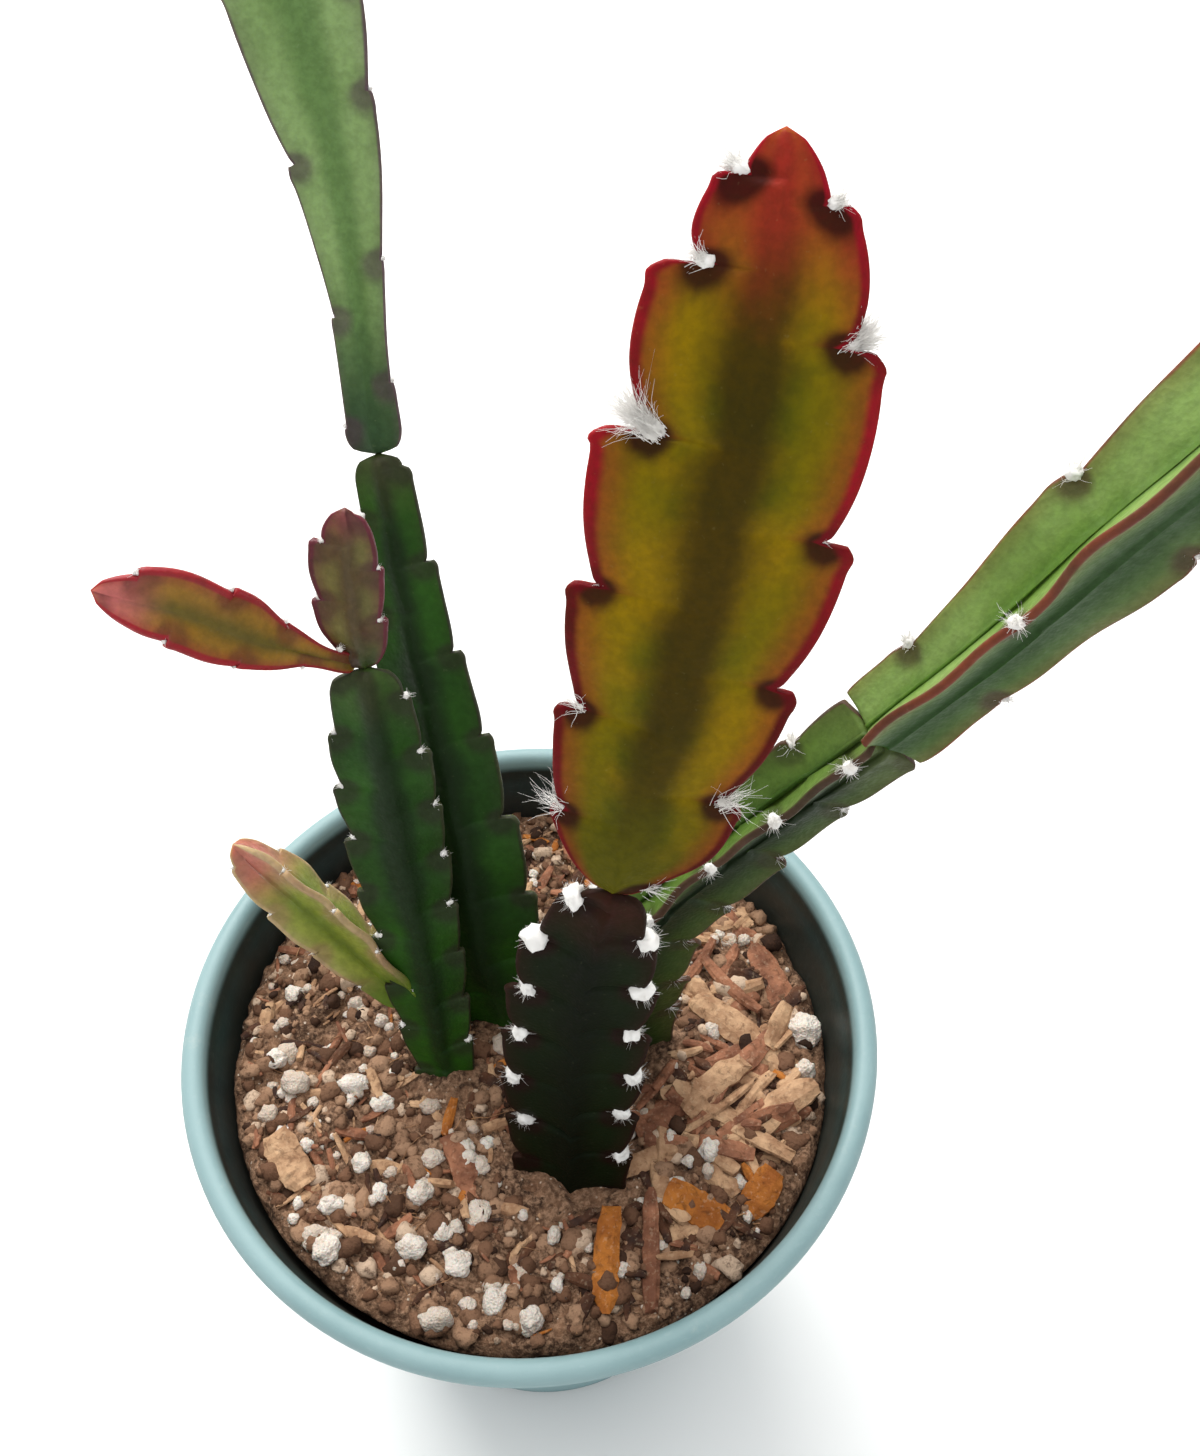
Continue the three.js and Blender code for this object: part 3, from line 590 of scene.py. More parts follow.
def stem_paints():
    return {
        "young": stem_paint(
            "young_stem_skin", (88, 92, 2), (140, 112, 3), (56, 42, 3), (150, 14, 34),
            (44, 6, 8), (160, 42, 34), tip_from=0.78, foot=(84, 80, 3), rim=0.87, thin=0.3,
            rough=0.5, shine=0.06, blushed=0.5, dull=0.6),
        "shaded": stem_paint(
            "shaded_stem_skin", (10, 18, 4), (16, 28, 6), (8, 14, 4), (40, 18, 10),
            (30, 10, 8), (58, 22, 14), tip_from=0.84, foot=(10, 20, 5), rim=0.93, thin=0.0,
            rough=0.62, shine=0.1),
        "mature": stem_paint(
            "mature_stem_skin", (22, 52, 12), (40, 86, 14), (18, 40, 10), (52, 56, 34),
            (40, 32, 26), (84, 76, 50), tip_from=0.9, foot=(40, 92, 12), rim=0.95, thin=0.15,
            rough=0.55, shine=0.2, blushed=0.25, stained=0.6),
        "tall": stem_paint(
            "tall_stem_skin", (108, 138, 76), (130, 158, 98), (92, 124, 66), (96, 76, 82),
            (76, 56, 66), (130, 110, 92), tip_from=0.93, foot=(48, 76, 44), rim=0.94, thin=0.2,
            rough=0.6, shine=0.2, blushed=0.25, stained=0.65),
        "bronze": stem_paint(
            "bronze_stem_skin", (92, 86, 44), (116, 108, 54), (84, 66, 40), (104, 32, 50),
            (70, 26, 34), (122, 56, 60), tip_from=0.78, foot=(50, 64, 26), rim=0.84, thin=0.2,
            blushed=0.4, stained=0.6),
        "red": stem_paint(
            "red_shoot_skin", (128, 96, 16), (156, 112, 26), (96, 84, 16), (150, 16, 34),
            (90, 20, 26), (200, 104, 104), tip_from=0.76, foot=(104, 76, 18), rim=0.84, thin=0.3,
            blushed=0.45, stained=0.55),
        "basal": stem_paint(
            "basal_shoot_skin", (122, 136, 34), (160, 166, 72), (100, 116, 20), (184, 158, 120),
            (150, 104, 84), (190, 96, 92), tip_from=0.7, foot=(98, 122, 26), rim=0.88, thin=0.3,
            blushed=0.35, stained=0.45, foot_over=True),
        # The right stems' near-black foot and dark flank are painted shade.
        "right": stem_paint(
            "right_stem_skin", (72, 104, 28), (98, 128, 52), (52, 84, 18), (84, 56, 44),
            (50, 34, 28), (104, 120, 64), tip_from=0.9, foot=(16, 34, 8), rim=0.95, thin=0.1,
            rough=0.55, shine=0.2, blushed=0.25, stained=0.5, shade_flank_colour=(14, 30, 8)),
        # The dark flank colour of this skin is painted shade.
        "pale": stem_paint(
            "pale_stem_skin", (102, 134, 52), (130, 158, 84), (70, 108, 24), (120, 48, 30),
            (64, 30, 26), (128, 100, 70), tip_from=0.95, rim=0.95, thin=0.2,
            rough=0.52, shine=0.25, blushed=0.3, stained=0.7, shade_flank_colour=(24, 62, 6)),
    }


# ---------------------------------------------------------------- wool and hairs


def fibre_mesh(paths, radii):
    """Thin three-sided tapering tubes along paths, an array (fibres, knots, 3)."""
    count, knots, _ = paths.shape
    step = np.gradient(paths, axis=1)
    step /= np.linalg.norm(step, axis=2, keepdims=True) + 1e-9
    helper = np.where(np.abs(step[..., 2:3]) < 0.9, [[[0, 0, 1.0]]], [[[1.0, 0, 0]]])
    a = np.cross(step, helper)
    a /= np.linalg.norm(a, axis=2, keepdims=True) + 1e-9
    b = np.cross(step, a)
    taper = np.linspace(1, 0.25, knots)[None, :, None]
    wide = radii[:, None, None] * taper
    rings = []
    for k in range(3):
        angle = 2 * math.pi * k / 3
        rings.append(paths + (a * math.cos(angle) + b * math.sin(angle)) * wide)
    points = np.stack(rings, axis=2).reshape(-1, 3)
    faces = []
    for fibre in range(count):
        for knot in range(fibre * knots, (fibre + 1) * knots - 1):
            faces += band(knot * 3, knot * 3 + 3, 3)
    return points, faces


def tuft_paths(chance, root, out, up, number, length, spread, knots=5):
    """Curling hairs that leave one areole round the direction out."""
    out = np.asarray(out) / np.linalg.norm(out)
    aim = out[None] + spread * chance.normal(size=(number, 3)) + 0.2 * np.asarray(up)[None]
    aim /= np.linalg.norm(aim, axis=1, keepdims=True)
    curl = chance.normal(size=(number, 3)) * 0.5
    reach = length * chance.uniform(0.4, 1.0, size=(number, 1))
    start = np.asarray(root)[None] + chance.normal(size=(number, 3)) * min(length * 0.12, 0.45)
    t = np.linspace(0, 1, knots)[None, :, None]
    wiggle = np.sin(t * math.pi * chance.uniform(1, 2.4, size=(number, 1, 1)) + 1) * 0.14
    return (start[:, None] + aim[:, None] * reach[:, None] * t
            + curl[:, None] * reach[:, None] * (t**2) * 0.5
            + np.cross(aim, curl)[:, None] * reach[:, None] * wiggle * t)


# How woolly each stem's notches are: hairs, their length, spread, chance of wool, and
# the radius of the felted ball under the hairs.
WOOL = {
    "front_lower_segment": (210, 1.9, 1.2, 1.0, 1.35),
    "front_upper_segment": (42, 2.4, 0.5, 1.0, 0.35),
    "tall_lower_segment": (110, 1.5, 1.0, 0.55, 1.1),
    "tall_upper_segment": (16, 1.0, 0.6, 0.6, 0.3),
    "short_lower_segment": (40, 1.1, 0.8, 0.45, 0.5),
    "short_upper_segment": (26, 1.0, 0.7, 0.9, 0.35),
    "red_side_shoot": (36, 0.9, 0.7, 1.0, 0.35),
    "basal_shoot": (22, 0.8, 0.7, 0.9, 0.3),
    "right_lower_segment": (150, 1.7, 1.0, 1.0, 0.75),
    "right_upper_segment": (130, 2.0, 0.8, 1.0, 0.7),
}

# Notches of the broad front pad with a flock of their own: wing, place from the foot of
# the segment, then hairs, length, spread and felted radius.
FLOCKS = {
    (0, 0): (60, 4.4, 0.45, 0.4), (0, 1): (50, 3.2, 0.5, 0.35), (0, 2): (10, 0.9, 0.6, 0.15),
    (0, 3): (620, 5.4, 0.2, 0.85), (0, 4): (320, 2.2, 0.4, 0.9), (0, 5): (240, 2.4, 0.35, 0.8),
    (1, 0): (40, 3.0, 0.5, 0.3), (1, 1): (80, 4.6, 0.4, 0.45), (1, 2): (8, 0.8, 0.6, 0.12),
    (1, 3): (8, 0.9, 0.6, 0.12), (1, 4): (480, 3.6, 0.28, 0.85), (1, 5): (200, 1.7, 0.5, 0.7),
}


def areoles(stem, line):
    """(wing number, lobe number, place, outward, along the stem) of every notch above the mix."""
    found = []
    s = np.linspace(0, line.total, 2400)
    along, front, side = line.axes(s, stem["face"])
    spots = line.at(s)
    low = stem["buried"] + 3 if stem["buried"] else 1.0
    for number, wing in enumerate(stem["wings"]):
        width, _, t, _, _ = wing_edge(stem, line, wing, s)
        angle = math.radians(wing[0])
        lobe = 0
        for i in np.nonzero(np.diff(t) < -0.5)[0] + 1:
            if low < s[i] < line.total - 0.5:
                out = front[i] * math.cos(angle) + side[i] * math.sin(angle)
                place = spots[i] + along[i] * 0.25 + out * (width[i] + 0.15)
                found.append((number, lobe, place, out, along[i]))
            lobe += 1
    return found


def wool_paint():
    paint = Paint("areole_wool")
    colour = paint.mix(paint.noise(400, 2), srgb(236, 232, 226), srgb(255, 254, 250))
    paint.shader.inputs["Subsurface Radius"].default_value = (1, 1, 1)
    paint.shader.inputs["Subsurface Scale"].default_value = 0.0008
    return paint.finish(colour, paint.ramp(paint.noise(900, 2), 0, 1, 0.6, 0.9), Subsurface_Weight=0.3)


def wool_balls(chance, places, sizes):
    """Lumpy felted balls, one at each place."""
    heap = Heap()
    for place, radius in zip(places, sizes):
        points, faces = rock(chance, 3, (1, 1, 0.9), 0.45)
        heap.add(place + points * radius, faces, 0.5)
    return np.vstack(heap.points), heap.faces


def add_wool(material):
    chance = np.random.default_rng(11)
    for name, stem in STEMS.items():
        hairs, length, spread, likely, ball = WOOL[name]
        line = Midline(stem["route"])
        paths, radii, places, sizes = [], [], [], []
        for number, lobe, place, out, along in areoles(stem, line):
            if chance.uniform() > likely:
                continue
            many, long, wide, core = hairs, length, spread, ball
            if name == "front_upper_segment":
                many, long, wide, core = FLOCKS.get((number, lobe), (10, 1.0, 0.6, 0.15))
            elif number == 2:
                many, core = many // 2, core * 0.7
            aim = out * 0.8 + along * 0.45
            root = place + out * core * 0.5
            paths.append(tuft_paths(chance, root, aim, (0, 0, 1), many, long, wide))
            radii.append(chance.uniform(0.025, 0.05, size=many))
            places.append(place + out * core * 0.6 + along * core * 0.25)
            sizes.append(core)
        if not paths:
            continue
        points, faces = fibre_mesh(np.concatenate(paths), np.concatenate(radii))
        more, balls = wool_balls(chance, places, sizes)
        faces += [tuple(i + len(points) for i in face) for face in balls]
        make_object(name + "_wool", np.vstack([points, more]), faces, material)


def add_stems():
    paints = stem_paints()
    for name, stem in STEMS.items():
        points, faces, attributes = stem_mesh(name, stem)
        skin = paints[stem["paint"]]
        make_object(name + "_skin", points, faces, skin, True, (name,), attributes)


# ---------------------------------------------------------------- pot

# (radius, height) from the middle of the underside, up the wall, round the folded rim and down
# the inside to the middle of the floor.
POT_PROFILE = [
    (0, 0), (16, 0), (29.3, 0), (30.1, 0.25), (30.5, 1.2), (39.1, 42), (48, 84.5), (48.4, 87.6),
    (49.2, 87.6), (48.9, 84.5), (49.9, 84.5), (50.45, 86.2), (50.95, 88.2), (50.9, 88.9), (50.5, 89.5),
    (49.9, 89.9), (49.3, POT_HEIGHT), (48.7, 89.95), (48.1, 89.6), (47.7, 88.9), (47.55, 87.8),
    (47, 84.5), (38.1, 42), (29.8, 2.6), (29.2, 1.9), (28.7, 1.6), (16, 1.6), (0, 1.6),
]


def pot_mesh(segments=160):
    """The lathed pot, still without its drain holes: (points, faces)."""
    profile = []
    for (r0, z0), (r1, z1) in zip(POT_PROFILE, POT_PROFILE[1:]):
        parts = max(1, int(math.hypot(r1 - r0, z1 - z0) / 4))
        profile += [(r0 + (r1 - r0) * k / parts, z0 + (z1 - z0) * k / parts) for k in range(parts)]
    profile.append(POT_PROFILE[-1])
    inner = profile[1:-1]
    points = [(0, 0, profile[0][1])]
    for r, z in inner:
        for j in range(segments):
            angle = 2 * math.pi * j / segments
            points.append((r * math.cos(angle), r * math.sin(angle), z))
    points.append((0, 0, profile[-1][1]))
    faces = []
    last = len(points) - 1
    end = 1 + (len(inner) - 1) * segments
    for j in range(segments):
        k = (j + 1) % segments
        faces.append((0, 1 + k, 1 + j))
        faces.append((last, end + j, end + k))
        for i in range(len(inner) - 1):
            a = 1 + i * segments
            faces.append((a + j, a + k, a + segments + k, a + segments + j))
    return points, faces


def pot_paint():
    """Thin grey-teal plastic, dusty and scratched, with a crust of mix low inside. The rim top
    is painted lighter as a highlight and the inside wall is painted dark as shade.
    """
    paint = Paint("pot_plastic_dust_and_painted_light")
    mix, ramp, times, plus = paint.mix, paint.ramp, paint.times, paint.plus
    height = paint.node("ShaderNodeSeparateXYZ")
    paint.feed(height.inputs[0], paint.place)
    x, y, z = (height.outputs[k] for k in range(3))
    radius = paint.math("SQRT", plus(times(x, x), times(y, y)))
    cloud = paint.noise(38, 5, 0.6)
    fine = paint.noise(700, 3, 0.6)
    streak = paint.noise(60, 4, 0.6, stretch=(1, 1, 0.12))
    colour = mix(ramp(cloud, 0.3, 0.7), srgb(84, 122, 126), srgb(100, 138, 142))
    colour = mix(ramp(streak, 0.45, 0.75, 0, 0.4), colour, srgb(78, 112, 114))
    # Painted highlight: the top of the rim is painted lighter, where the light falls on it.
    rim_highlight = times(ramp(z, 0.0862, 0.0895), ramp(cloud, 0.2, 0.6, 0.6, 1.0))
    colour = mix(rim_highlight, colour, srgb(134, 162, 164))
    # Painted shade: the inside wall of the pot is painted dark green, where shade falls inside it.
    slope = plus(times(z, 0.2099), 0.02976)
    inside = ramp(paint.math("SUBTRACT", radius, slope), -0.0006, 0.0, 1, 0)
    inside = times(inside, ramp(z, 0.0868, 0.0885, 1, 0))
    inside_shade = mix(ramp(streak, 0.35, 0.7), srgb(10, 26, 24), srgb(24, 48, 44))
    colour = mix(inside, colour, inside_shade)
    low = plus(z, times(cloud, 0.006))
    crust = times(inside, ramp(low, 0.083, 0.0875, 1, 0))
    colour = mix(times(crust, 0.6), colour, srgb(48, 38, 28))
    outside = paint.math("SUBTRACT", 1.0, times(inside, 0.85))
    dust = times(ramp(paint.noise(260, 5, 0.7), 0.58, 0.76, 0, 0.22), outside)
    colour = mix(dust, colour, srgb(176, 184, 178))
    scratch = ramp(paint.noise(500, 2, 0.5, stretch=(1, 1, 9)), 0.62, 0.72, 0, 0.25)
    colour = mix(times(scratch, outside), colour, srgb(146, 170, 172))
    relief = plus(times(fine, 0.3), cloud)
    paint.bump(relief, 0.3, 0.0005)
    return paint.finish(colour, ramp(cloud, 0.3, 0.7, 0.42, 0.62), Specular_IOR_Level=0.5)


def add_pot():
    """The pot, with its drain holes cut through the floor."""
    points, faces = pot_mesh()
    pot = make_object("pot_body", points, faces, pot_paint(), True, ("pot",))
    cutters = []
    for i in range(DRAIN_HOLES):
        angle = math.radians(360 / DRAIN_HOLES * i)
        x, y = DRAIN_HOLE_CIRCLE * math.cos(angle), DRAIN_HOLE_CIRCLE * math.sin(angle)
        bpy.ops.mesh.primitive_cylinder_add(
            vertices=40, radius=DRAIN_HOLE_RADIUS * MM, depth=6 * MM, location=(x * MM, y * MM, 0.5 * MM))
        cutters.append(bpy.context.object)
    for cutter in cutters:
        cut = pot.modifiers.new("drain", "BOOLEAN")
        cut.operation = "DIFFERENCE"
        cut.object = cutter
        cut.solver = "EXACT"
    bpy.context.view_layer.update()
    drilled = bpy.data.meshes.new_from_object(pot.evaluated_get(bpy.context.evaluated_depsgraph_get()))
    pot.modifiers.clear()
    pot.data = drilled
    for cutter in cutters:
        bpy.data.objects.remove(cutter)
    corner = pot.modifiers.new("corner", "EDGE_SPLIT")
    corner.split_angle = math.radians(50)


# ---------------------------------------------------------------- potting mix


def mix_height(x, y):
    """Height of the solid model's mix: gentle lumps on a slight slope."""
    slope = -0.05 * x - 0.02 * y
    lumps = math.sin(x * 0.31 + 1.3) * math.cos(y * 0.27 - 0.4) + 0.7 * math.sin(x * 0.62 - y * 0.55)
    return MIX_LEVEL + slope + 0.55 * lumps


def mix_top(x, y):
    """Height of the mix with its crumbs and hollows."""
    p = Vector((x, y, 0))
    crumbs = noise.fractal(p * 0.28, 0.9, 2.1, 5)
    grit = noise.noise(p * 1.7) * 0.35 + noise.noise(p * 3.9) * 0.16
    pits = max(0.0, noise.noise(p * 0.55 + Vector((7, 3, 1))) - 0.15) * -2.2
    return mix_height(x, y) - 0.35 + crumbs * 0.85 + grit + pits


def mix_paint():
    paint = Paint("bark_and_peat_mix")
    clumps = paint.noise(260, 6, 0.65)
    grain = paint.noise(1300, 4, 0.7)
    colour = paint.mix(paint.ramp(clumps, 0.34, 0.66), srgb(60, 40, 28), srgb(132, 98, 74))
    colour = paint.mix(paint.ramp(grain, 0.4, 0.66, 0, 0.75), colour, srgb(176, 140, 112))
    colour = paint.mix(paint.ramp(paint.noise(600, 5, 0.7), 0.52, 0.68, 0, 0.85), colour, srgb(30, 17, 10))
    flecks = paint.ramp(paint.cells(900), 0.12, 0.22, 1, 0)
    flecks = paint.times(flecks, paint.ramp(paint.noise(350, 2), 0.5, 0.6))
    colour = paint.mix(flecks, colour, srgb(214, 196, 176))
    paint.bump(paint.plus(grain, clumps), 0.8, 0.0008)
    return paint.finish(colour, paint.ramp(grain, 0.3, 0.7, 0.8, 1.0), Specular_IOR_Level=0.25)


def add_mix(material):
    rings, segments = 150, 300
    points = [(0, 0, mix_top(0, 0))]
    for i in range(1, rings + 1):
        r = MIX_EDGE * (i / rings)
        for j in range(segments):
            angle = 2 * math.pi * j / segments
            x, y = r * math.cos(angle), r * math.sin(angle)
            sink = 1.4 * max(0, (r - 43.4) / 1.6) ** 2
            points.append((x, y, mix_top(x, y) - sink))
    faces = [(0, 1 + j, 1 + (j + 1) % segments) for j in range(segments)]
    for i in range(rings - 1):
        a = 1 + i * segments
        for j in range(segments):
            k = (j + 1) % segments
            faces.append((a + j, a + segments + j, a + segments + k, a + k))
    low = 1 + (rings - 1) * segments
    foot = len(points)
    for j in range(segments):
        angle = 2 * math.pi * j / segments
        points.append((MIX_FOOT * math.cos(angle), MIX_FOOT * math.sin(angle), MIX_BOTTOM))
    points.append((0, 0, MIX_BOTTOM))
    for j in range(segments):
        k = (j + 1) % segments
        faces.append((low + j, foot + j, foot + k, low + k))
        faces.append((len(points) - 1, foot + k, foot + j))
    make_object("potting_mix_surface", points, faces, material, True, ("potting_mix",))


def rock(chance, detail, squash=(1, 1, 1), rough=0.22):
    """A knobbly closed lump of about unit radius: (points, faces)."""
    shape = bmesh.new()
    bmesh.ops.create_icosphere(shape, subdivisions=detail, radius=1)
    shift = Vector(chance.uniform(-50, 50, 3))
    stretch = chance.uniform(0.75, 1.2, 3)
    points = []
    for vertex in shape.verts:
        p = vertex.co
        swell = 1 + rough * noise.noise(p * 1.3 + shift) + rough * 0.6 * noise.noise(p * 2.9 + shift)
        points.append([p[k] * swell * stretch[k] * squash[k] for k in range(3)])
    faces = [[v.index for v in face.verts] for face in shape.faces]
    shape.free()
    return np.array(points), faces


def sliver(chance, length, width, thick, detail=7, splinter=0.3):
    """A split sliver of bark lying along X: (points, faces)."""
    around = 8
    points, faces = [], []
    bend = chance.uniform(-0.06, 0.06)
    tilt = chance.uniform(-0.25, 0.25)
    for i in range(detail + 1):
        u = i / detail - 0.5
        taper = 1 - splinter * (2 * abs(u)) ** 3
        half = width / 2 * taper * (1 + 0.05 * chance.normal())
        deep = thick / 2 * (0.8 + 0.2 * taper) * (1 + 0.06 * chance.normal())
        ragged = 0.05 * length * chance.normal() if i in (0, detail) else 0
        for j in range(around):
            a = 2 * math.pi * (j + 0.5) / around
            square = 1 / max(abs(math.cos(a)), abs(math.sin(a)))
            y = half * math.cos(a) * square * chance.uniform(0.95, 1.03)
            z = deep * math.sin(a) * square * chance.uniform(0.92, 1.04)
            x = u * length + ragged * math.cos(a * 2)
            points.append((x, y + bend * length * (4 * u * u) + tilt * z, z))
    for i in range(detail):
        faces += band(i * around, (i + 1) * around, around)
    faces.append(tuple(reversed(range(around))))
    faces.append(tuple(range(detail * around, (detail + 1) * around)))
    return np.array(points), faces


def turned(points, heading, pitch=0.0, roll=0.0):
    """The points rolled about X, pitched about Y and then headed about Z."""
    cr, sr = math.cos(roll), math.sin(roll)
    cp, sp = math.cos(pitch), math.sin(pitch)
    ch, sh = math.cos(heading), math.sin(heading)
    rx = np.array([[1, 0, 0], [0, cr, -sr], [0, sr, cr]])
    ry = np.array([[cp, 0, -sp], [0, 1, 0], [sp, 0, cp]])
    rz = np.array([[ch, -sh, 0], [sh, ch, 0], [0, 0, 1]])
    return points @ (rz @ ry @ rx).T


class Heap:
    """Many small shapes gathered into one mesh, each with its own shade."""

    def __init__(self):
        self.points, self.faces, self.shade, self.start = [], [], [], 0

    def add(self, points, faces, shade):
        self.points.append(points)
        self.faces += [tuple(v + self.start for v in face) for face in faces]
        self.shade += [shade] * len(points)
        self.start += len(points)

    def build(self, name, material, smooth=True, replaces=()):
        points = np.vstack(self.points)
        make_object(name, points, self.faces, material, smooth, replaces, {"shade": self.shade})


def perlite_paint():
    paint = Paint("perlite_foam")
    shade = paint.attribute("shade")
    pores = paint.cells(2600)
    colour = paint.mix(shade, srgb(178, 156, 136), srgb(220, 212, 202))
    colour = paint.mix(paint.ramp(paint.noise(700, 4, 0.6), 0.45, 0.75, 0, 0.5), colour, srgb(176, 150, 124))
    colour = paint.mix(paint.ramp(pores, 0.05, 0.3, 0.45, 0), colour, srgb(150, 132, 112))
    paint.bump(paint.plus(pores, paint.noise(1500, 3)), 0.6, 0.0004)
    paint.shader.inputs["Subsurface Scale"].default_value = 0.0006
    return paint.finish(colour, paint.ramp(pores, 0, 0.5, 0.75, 0.95), Subsurface_Weight=0.15)


def bark_paint():
    paint = Paint("bark_chip_wood")
    shade = paint.attribute("shade")
    grain = paint.noise(900, 5, 0.65, warp=0.6)
    broad = paint.noise(240, 4, 0.6)
    tan = paint.mix(paint.ramp(broad, 0.35, 0.65), srgb(152, 114, 84), srgb(196, 158, 122))
    red = paint.mix(paint.ramp(broad, 0.35, 0.65), srgb(112, 70, 50), srgb(158, 106, 78))
    orange = paint.mix(paint.ramp(broad, 0.35, 0.65), srgb(146, 82, 28), srgb(178, 108, 40))
    dark = paint.mix(paint.ramp(broad, 0.35, 0.65), srgb(48, 28, 20), srgb(92, 58, 38))
    colour = paint.mix(paint.ramp(shade, 0.2, 0.3), dark, red)
    colour = paint.mix(paint.ramp(shade, 0.45, 0.55), colour, tan)
    colour = paint.mix(paint.ramp(shade, 0.8, 0.88), colour, orange)
    colour = paint.mix(paint.ramp(grain, 0.5, 0.7, 0, 0.55), colour, srgb(70, 40, 24))
    colour = paint.mix(paint.ramp(paint.noise(1600, 3), 0.55, 0.7, 0, 0.15), colour, srgb(232, 206, 172))
    paint.bump(grain, 0.7, 0.0005)
    return paint.finish(colour, paint.ramp(grain, 0.3, 0.7, 0.7, 0.92), Specular_IOR_Level=0.3)


# The larger pieces that the solid model has too. A chip is (x, y, length, width, thickness,
# heading, tilt, shade), with the turns in degrees.
BARK_CHIPS = [
    (32, 2.5, 17, 5, 2, 140, 7, 0.65), (38, 11.5, 13, 4.5, 1.8, 113, 5, 0.4),
    (27, -7, 12, 4, 1.8, 40, 4, 0.62), (36, -11, 15, 4.5, 2, 36, 6, 0.66),
    (11, -33, 13, 3.6, 1.8, 86, 7, 0.9), (17.2, -31.5, 16, 2.4, 1.4, 89, 3, 0.38),
    (24, -25.5, 10, 5, 1.4, 155, 12, 0.95), (33, -23.5, 8, 4.6, 1.4, 50, 14, 0.92),
    (-9.5, -20, 10, 3.6, 1.6, 112, 5, 0.36), (-34, -20, 9, 5, 2, 127, 8, 0.7),
    (20, 27, 14, 4.5, 1.8, 150, 5, 0.6), (-16, 31, 12, 4, 1.8, 25, 5, 0.4),
]
# A grain is (x, y, radius).
PERLITE = [
    (42, 2.5, 2.3), (41.5, -4, 1.8), (26, -17, 1.6), (1, -41, 2.1), (-15, -24, 1.9), (-27, -26, 1.8),
    (-27, -32.5, 1.9), (-9, -34, 1.7), (-37.5, 7, 1.7), (-38.5, -4, 1.6), (-26, 28, 1.8), (-22, -10.5, 1.6),
]


# Where the rooted stems come out of the mix: (x, y, radius kept free).
STEM_FEET = [(6.5, -20, 11), (-4.5, 5, 8), (-12.5, -5.6, 6), (12, -0.5, 10)]


def near_stem(x, y, gap):
    """True where a stem comes out of the mix."""
    return any(math.hypot(x - fx, (y - fy) * 1.5) < r + gap for fx, fy, r in STEM_FEET)


def scatter(chance, number, reach):
    """Random places over the mix, clear of the stems."""
    places = []
    while len(places) < number:
        r = reach * math.sqrt(chance.uniform())
        angle = chance.uniform(0, 2 * math.pi)
        x, y = r * math.cos(angle), r * math.sin(angle)
        if not near_stem(x, y, 0):
            places.append((x, y))
    return places


# Shades of the small slivers, from dark to orange, and the share of each.
SLIVER_SHADES = [0.1, 0.15, 0.38, 0.4, 0.65, 0.7, 0.7, 0.95]
SLIVER_SHARES = [0.2, 0.14, 0.16, 0.12, 0.14, 0.1, 0.1, 0.04]


def add_bark(material):
    chance = np.random.default_rng(5)
    large = Heap()
    for x, y, length, width, thick, heading, tip, shade in BARK_CHIPS:
        points, faces = sliver(chance, length, width, thick, detail=14)
        points = turned(points, math.radians(heading), math.radians(tip))
        large.add(points + [x, y, mix_height(x, y) + thick * 0.3], faces, shade)
    names = ["bark_chip_%02d" % (i + 1) for i in range(len(BARK_CHIPS))]
    large.build("bark_chips_large", material, False, names)
    small = Heap()
    for k in range(MEDIUM_SLIVERS):
        x, y = chance.uniform(16, 38), chance.uniform(-20, 16)
        length, width = chance.uniform(7, 15), chance.uniform(1.6, 3.4)
        heading = math.radians(chance.normal() * 12 + (135 if k % 2 else 38))
        if math.hypot(x, y) + length / 2 > 44.0 or near_stem(x, y, length / 2):
            continue
        points, faces = sliver(chance, length, width, chance.uniform(1.0, 1.5), detail=8)
        points = turned(points, heading, chance.normal() * 0.08, chance.normal() * 0.3)
        small.add(points + [x, y, mix_top(x, y) + 0.6], faces, chance.choice([0.38, 0.42, 0.62, 0.7]))
    for x, y in scatter(chance, SMALL_SLIVERS, 43.0):
        length = chance.uniform(2.0, 7.5) * (1.25 if x > 8 else 0.75)
        width = length * chance.uniform(0.14, 0.4)
        points, faces = sliver(chance, length, width, min(width * 0.6, 1.3), detail=4)
        points = turned(points, chance.uniform(0, math.pi), chance.normal() * 0.16, chance.normal() * 0.4)
        if math.hypot(x, y) + length / 2 > 44.6:
            continue
        shade = chance.choice(SLIVER_SHADES, p=SLIVER_SHARES)
        small.add(points + [x, y, mix_top(x, y) + 0.25], faces, shade)
    small.build("bark_chips_small", material, False)


def add_perlite(material):
    chance = np.random.default_rng(8)
    large = Heap()
    for x, y, r in PERLITE:
        points, faces = rock(chance, 4, (1, 1, 0.85), 0.3)
        large.add(points * r + [x, y, mix_height(x, y) + r * 0.2], faces, chance.uniform(0.7, 1))
    names = ["perlite_%02d" % (i + 1) for i in range(len(PERLITE))]
    large.build("perlite_large", material, True, names)
    small = Heap()
    for x, y in scatter(chance, SMALL_GRAINS, 43.2):
        left = 1.0 if x < 5 else 0.72
        r = min(0.5 + 0.45 * chance.exponential(), 1.9) * left
        points, faces = rock(chance, 3 if r > 0.9 else 2, (1, 1, 0.85), 0.34)
        small.add(points * r + [x, y, mix_top(x, y) + r * 0.25], faces, chance.uniform(0.2, 1))
    small.build("perlite_small", material, True)


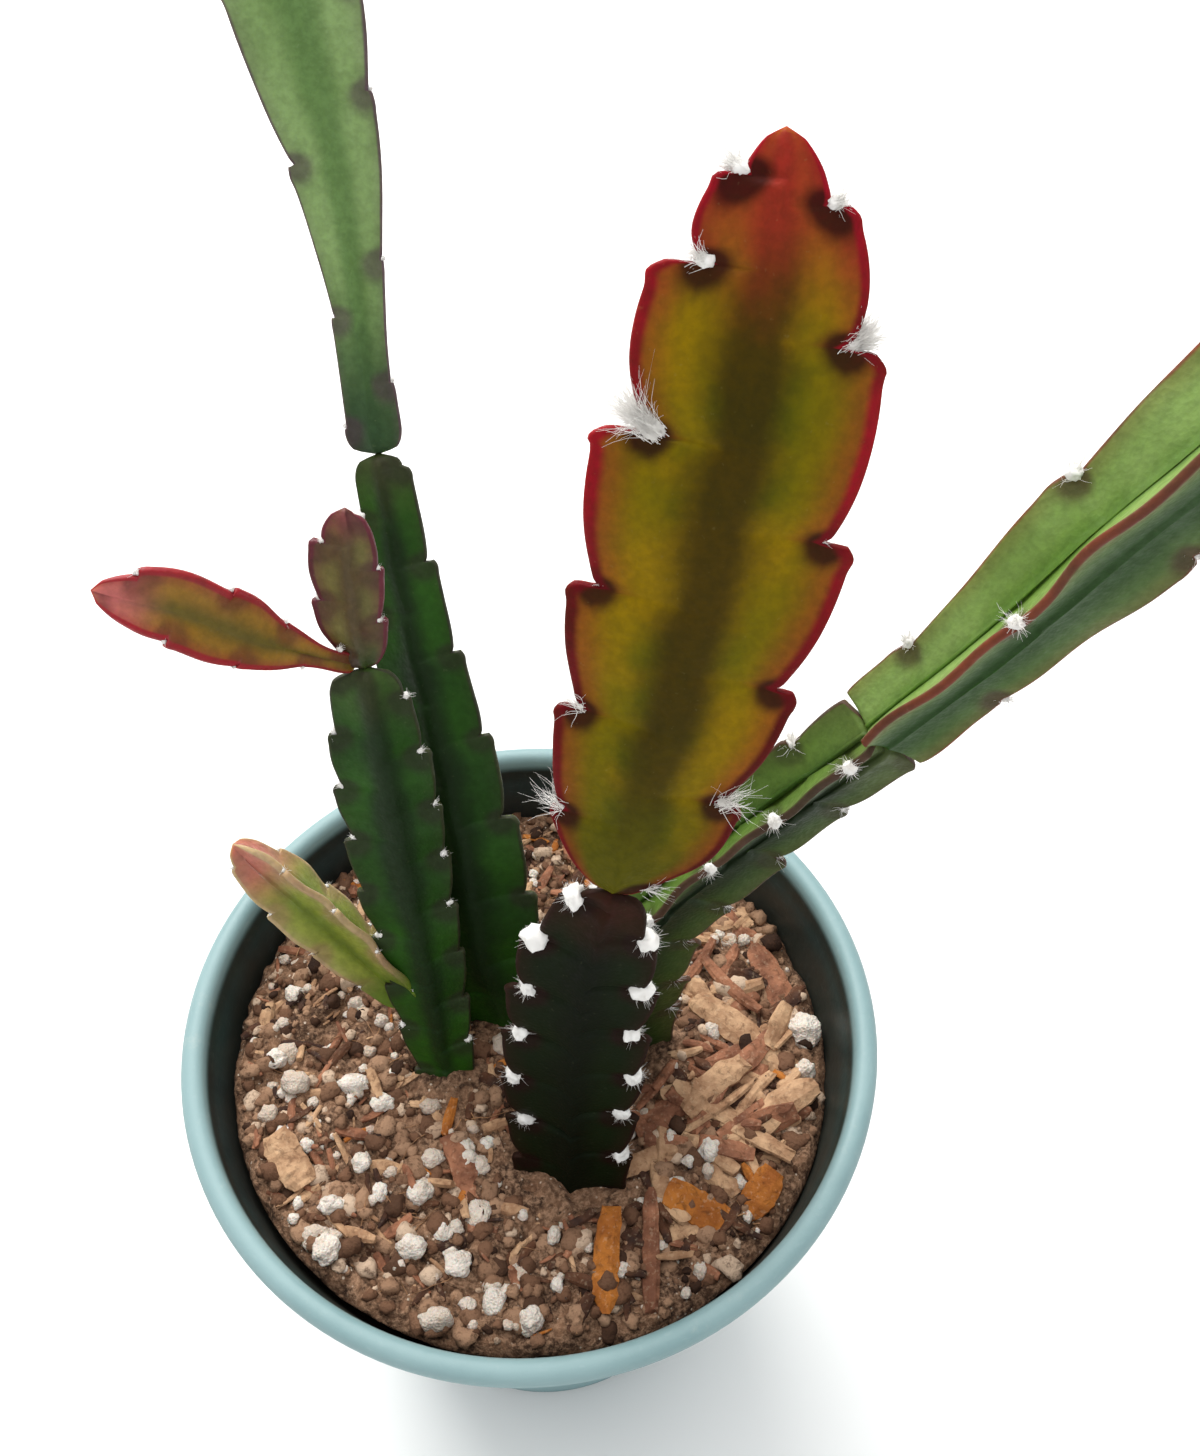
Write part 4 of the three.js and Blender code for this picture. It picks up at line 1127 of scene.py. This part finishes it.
def crumb_paint():
    paint = Paint("bark_crumb")
    shade = paint.attribute("shade")
    grain = paint.noise(1100, 4, 0.7)
    dark = paint.mix(paint.ramp(shade, 0.0, 0.25), srgb(44, 28, 20), srgb(112, 80, 60))
    colour = paint.mix(paint.ramp(shade, 0.3, 0.7), dark, srgb(158, 124, 98))
    colour = paint.mix(paint.ramp(shade, 0.8, 0.9), colour, srgb(198, 172, 148))
    colour = paint.mix(paint.ramp(grain, 0.5, 0.68, 0, 0.7), colour, srgb(72, 48, 34))
    paint.bump(grain, 0.8, 0.0006)
    return paint.finish(colour, paint.ramp(grain, 0.3, 0.7, 0.8, 1.0), Specular_IOR_Level=0.2)


def add_crumbs():
    chance = np.random.default_rng(3)
    heap = Heap()
    for x, y in scatter(chance, CRUMBS, 43.8):
        r = min(0.4 + 0.42 * chance.exponential(), 1.7)
        points, faces = rock(chance, 2, (1, 1, 0.75), 0.5)
        points = turned(points * r, chance.uniform(0, 6.28))
        heap.add(points + [x, y, mix_top(x, y) + r * 0.1], faces, chance.uniform(0, 1))
    heap.build("mix_crumbs", crumb_paint(), True)


def add_peat_fibres(material):
    chance = np.random.default_rng(21)
    paths = []
    for x, y in scatter(chance, PEAT_FIBRES, 42.0):
        length = chance.uniform(2, 7)
        heading = chance.uniform(0, 2 * math.pi)
        t = np.linspace(-0.5, 0.5, 7)
        bow = chance.normal() * 0.25
        px = x + length * (t * math.cos(heading) - bow * (t * t) * math.sin(heading))
        py = y + length * (t * math.sin(heading) + bow * (t * t) * math.cos(heading))
        pz = [mix_top(a, b) + 0.35 + 0.3 * chance.uniform() for a, b in zip(px, py)]
        paths.append(np.stack([px, py, pz], axis=1))
    points, faces = fibre_mesh(np.array(paths), chance.uniform(0.05, 0.13, size=len(paths)))
    make_object("mix_fibres", points, faces, material)


def fibre_paint():
    paint = Paint("peat_fibre")
    colour = paint.mix(paint.ramp(paint.noise(120, 3), 0.4, 0.6), srgb(74, 46, 28), srgb(166, 122, 84))
    return paint.finish(colour, paint.ramp(paint.noise(500, 2), 0, 1, 0.7, 0.95))


# ---------------------------------------------------------------- everything

add_camera()
add_lights()
add_floor()
add_pot()
soil = mix_paint()
add_mix(soil)
add_crumbs()
add_peat_fibres(fibre_paint())
add_bark(bark_paint())
add_perlite(perlite_paint())
add_stems()
add_wool(wool_paint())
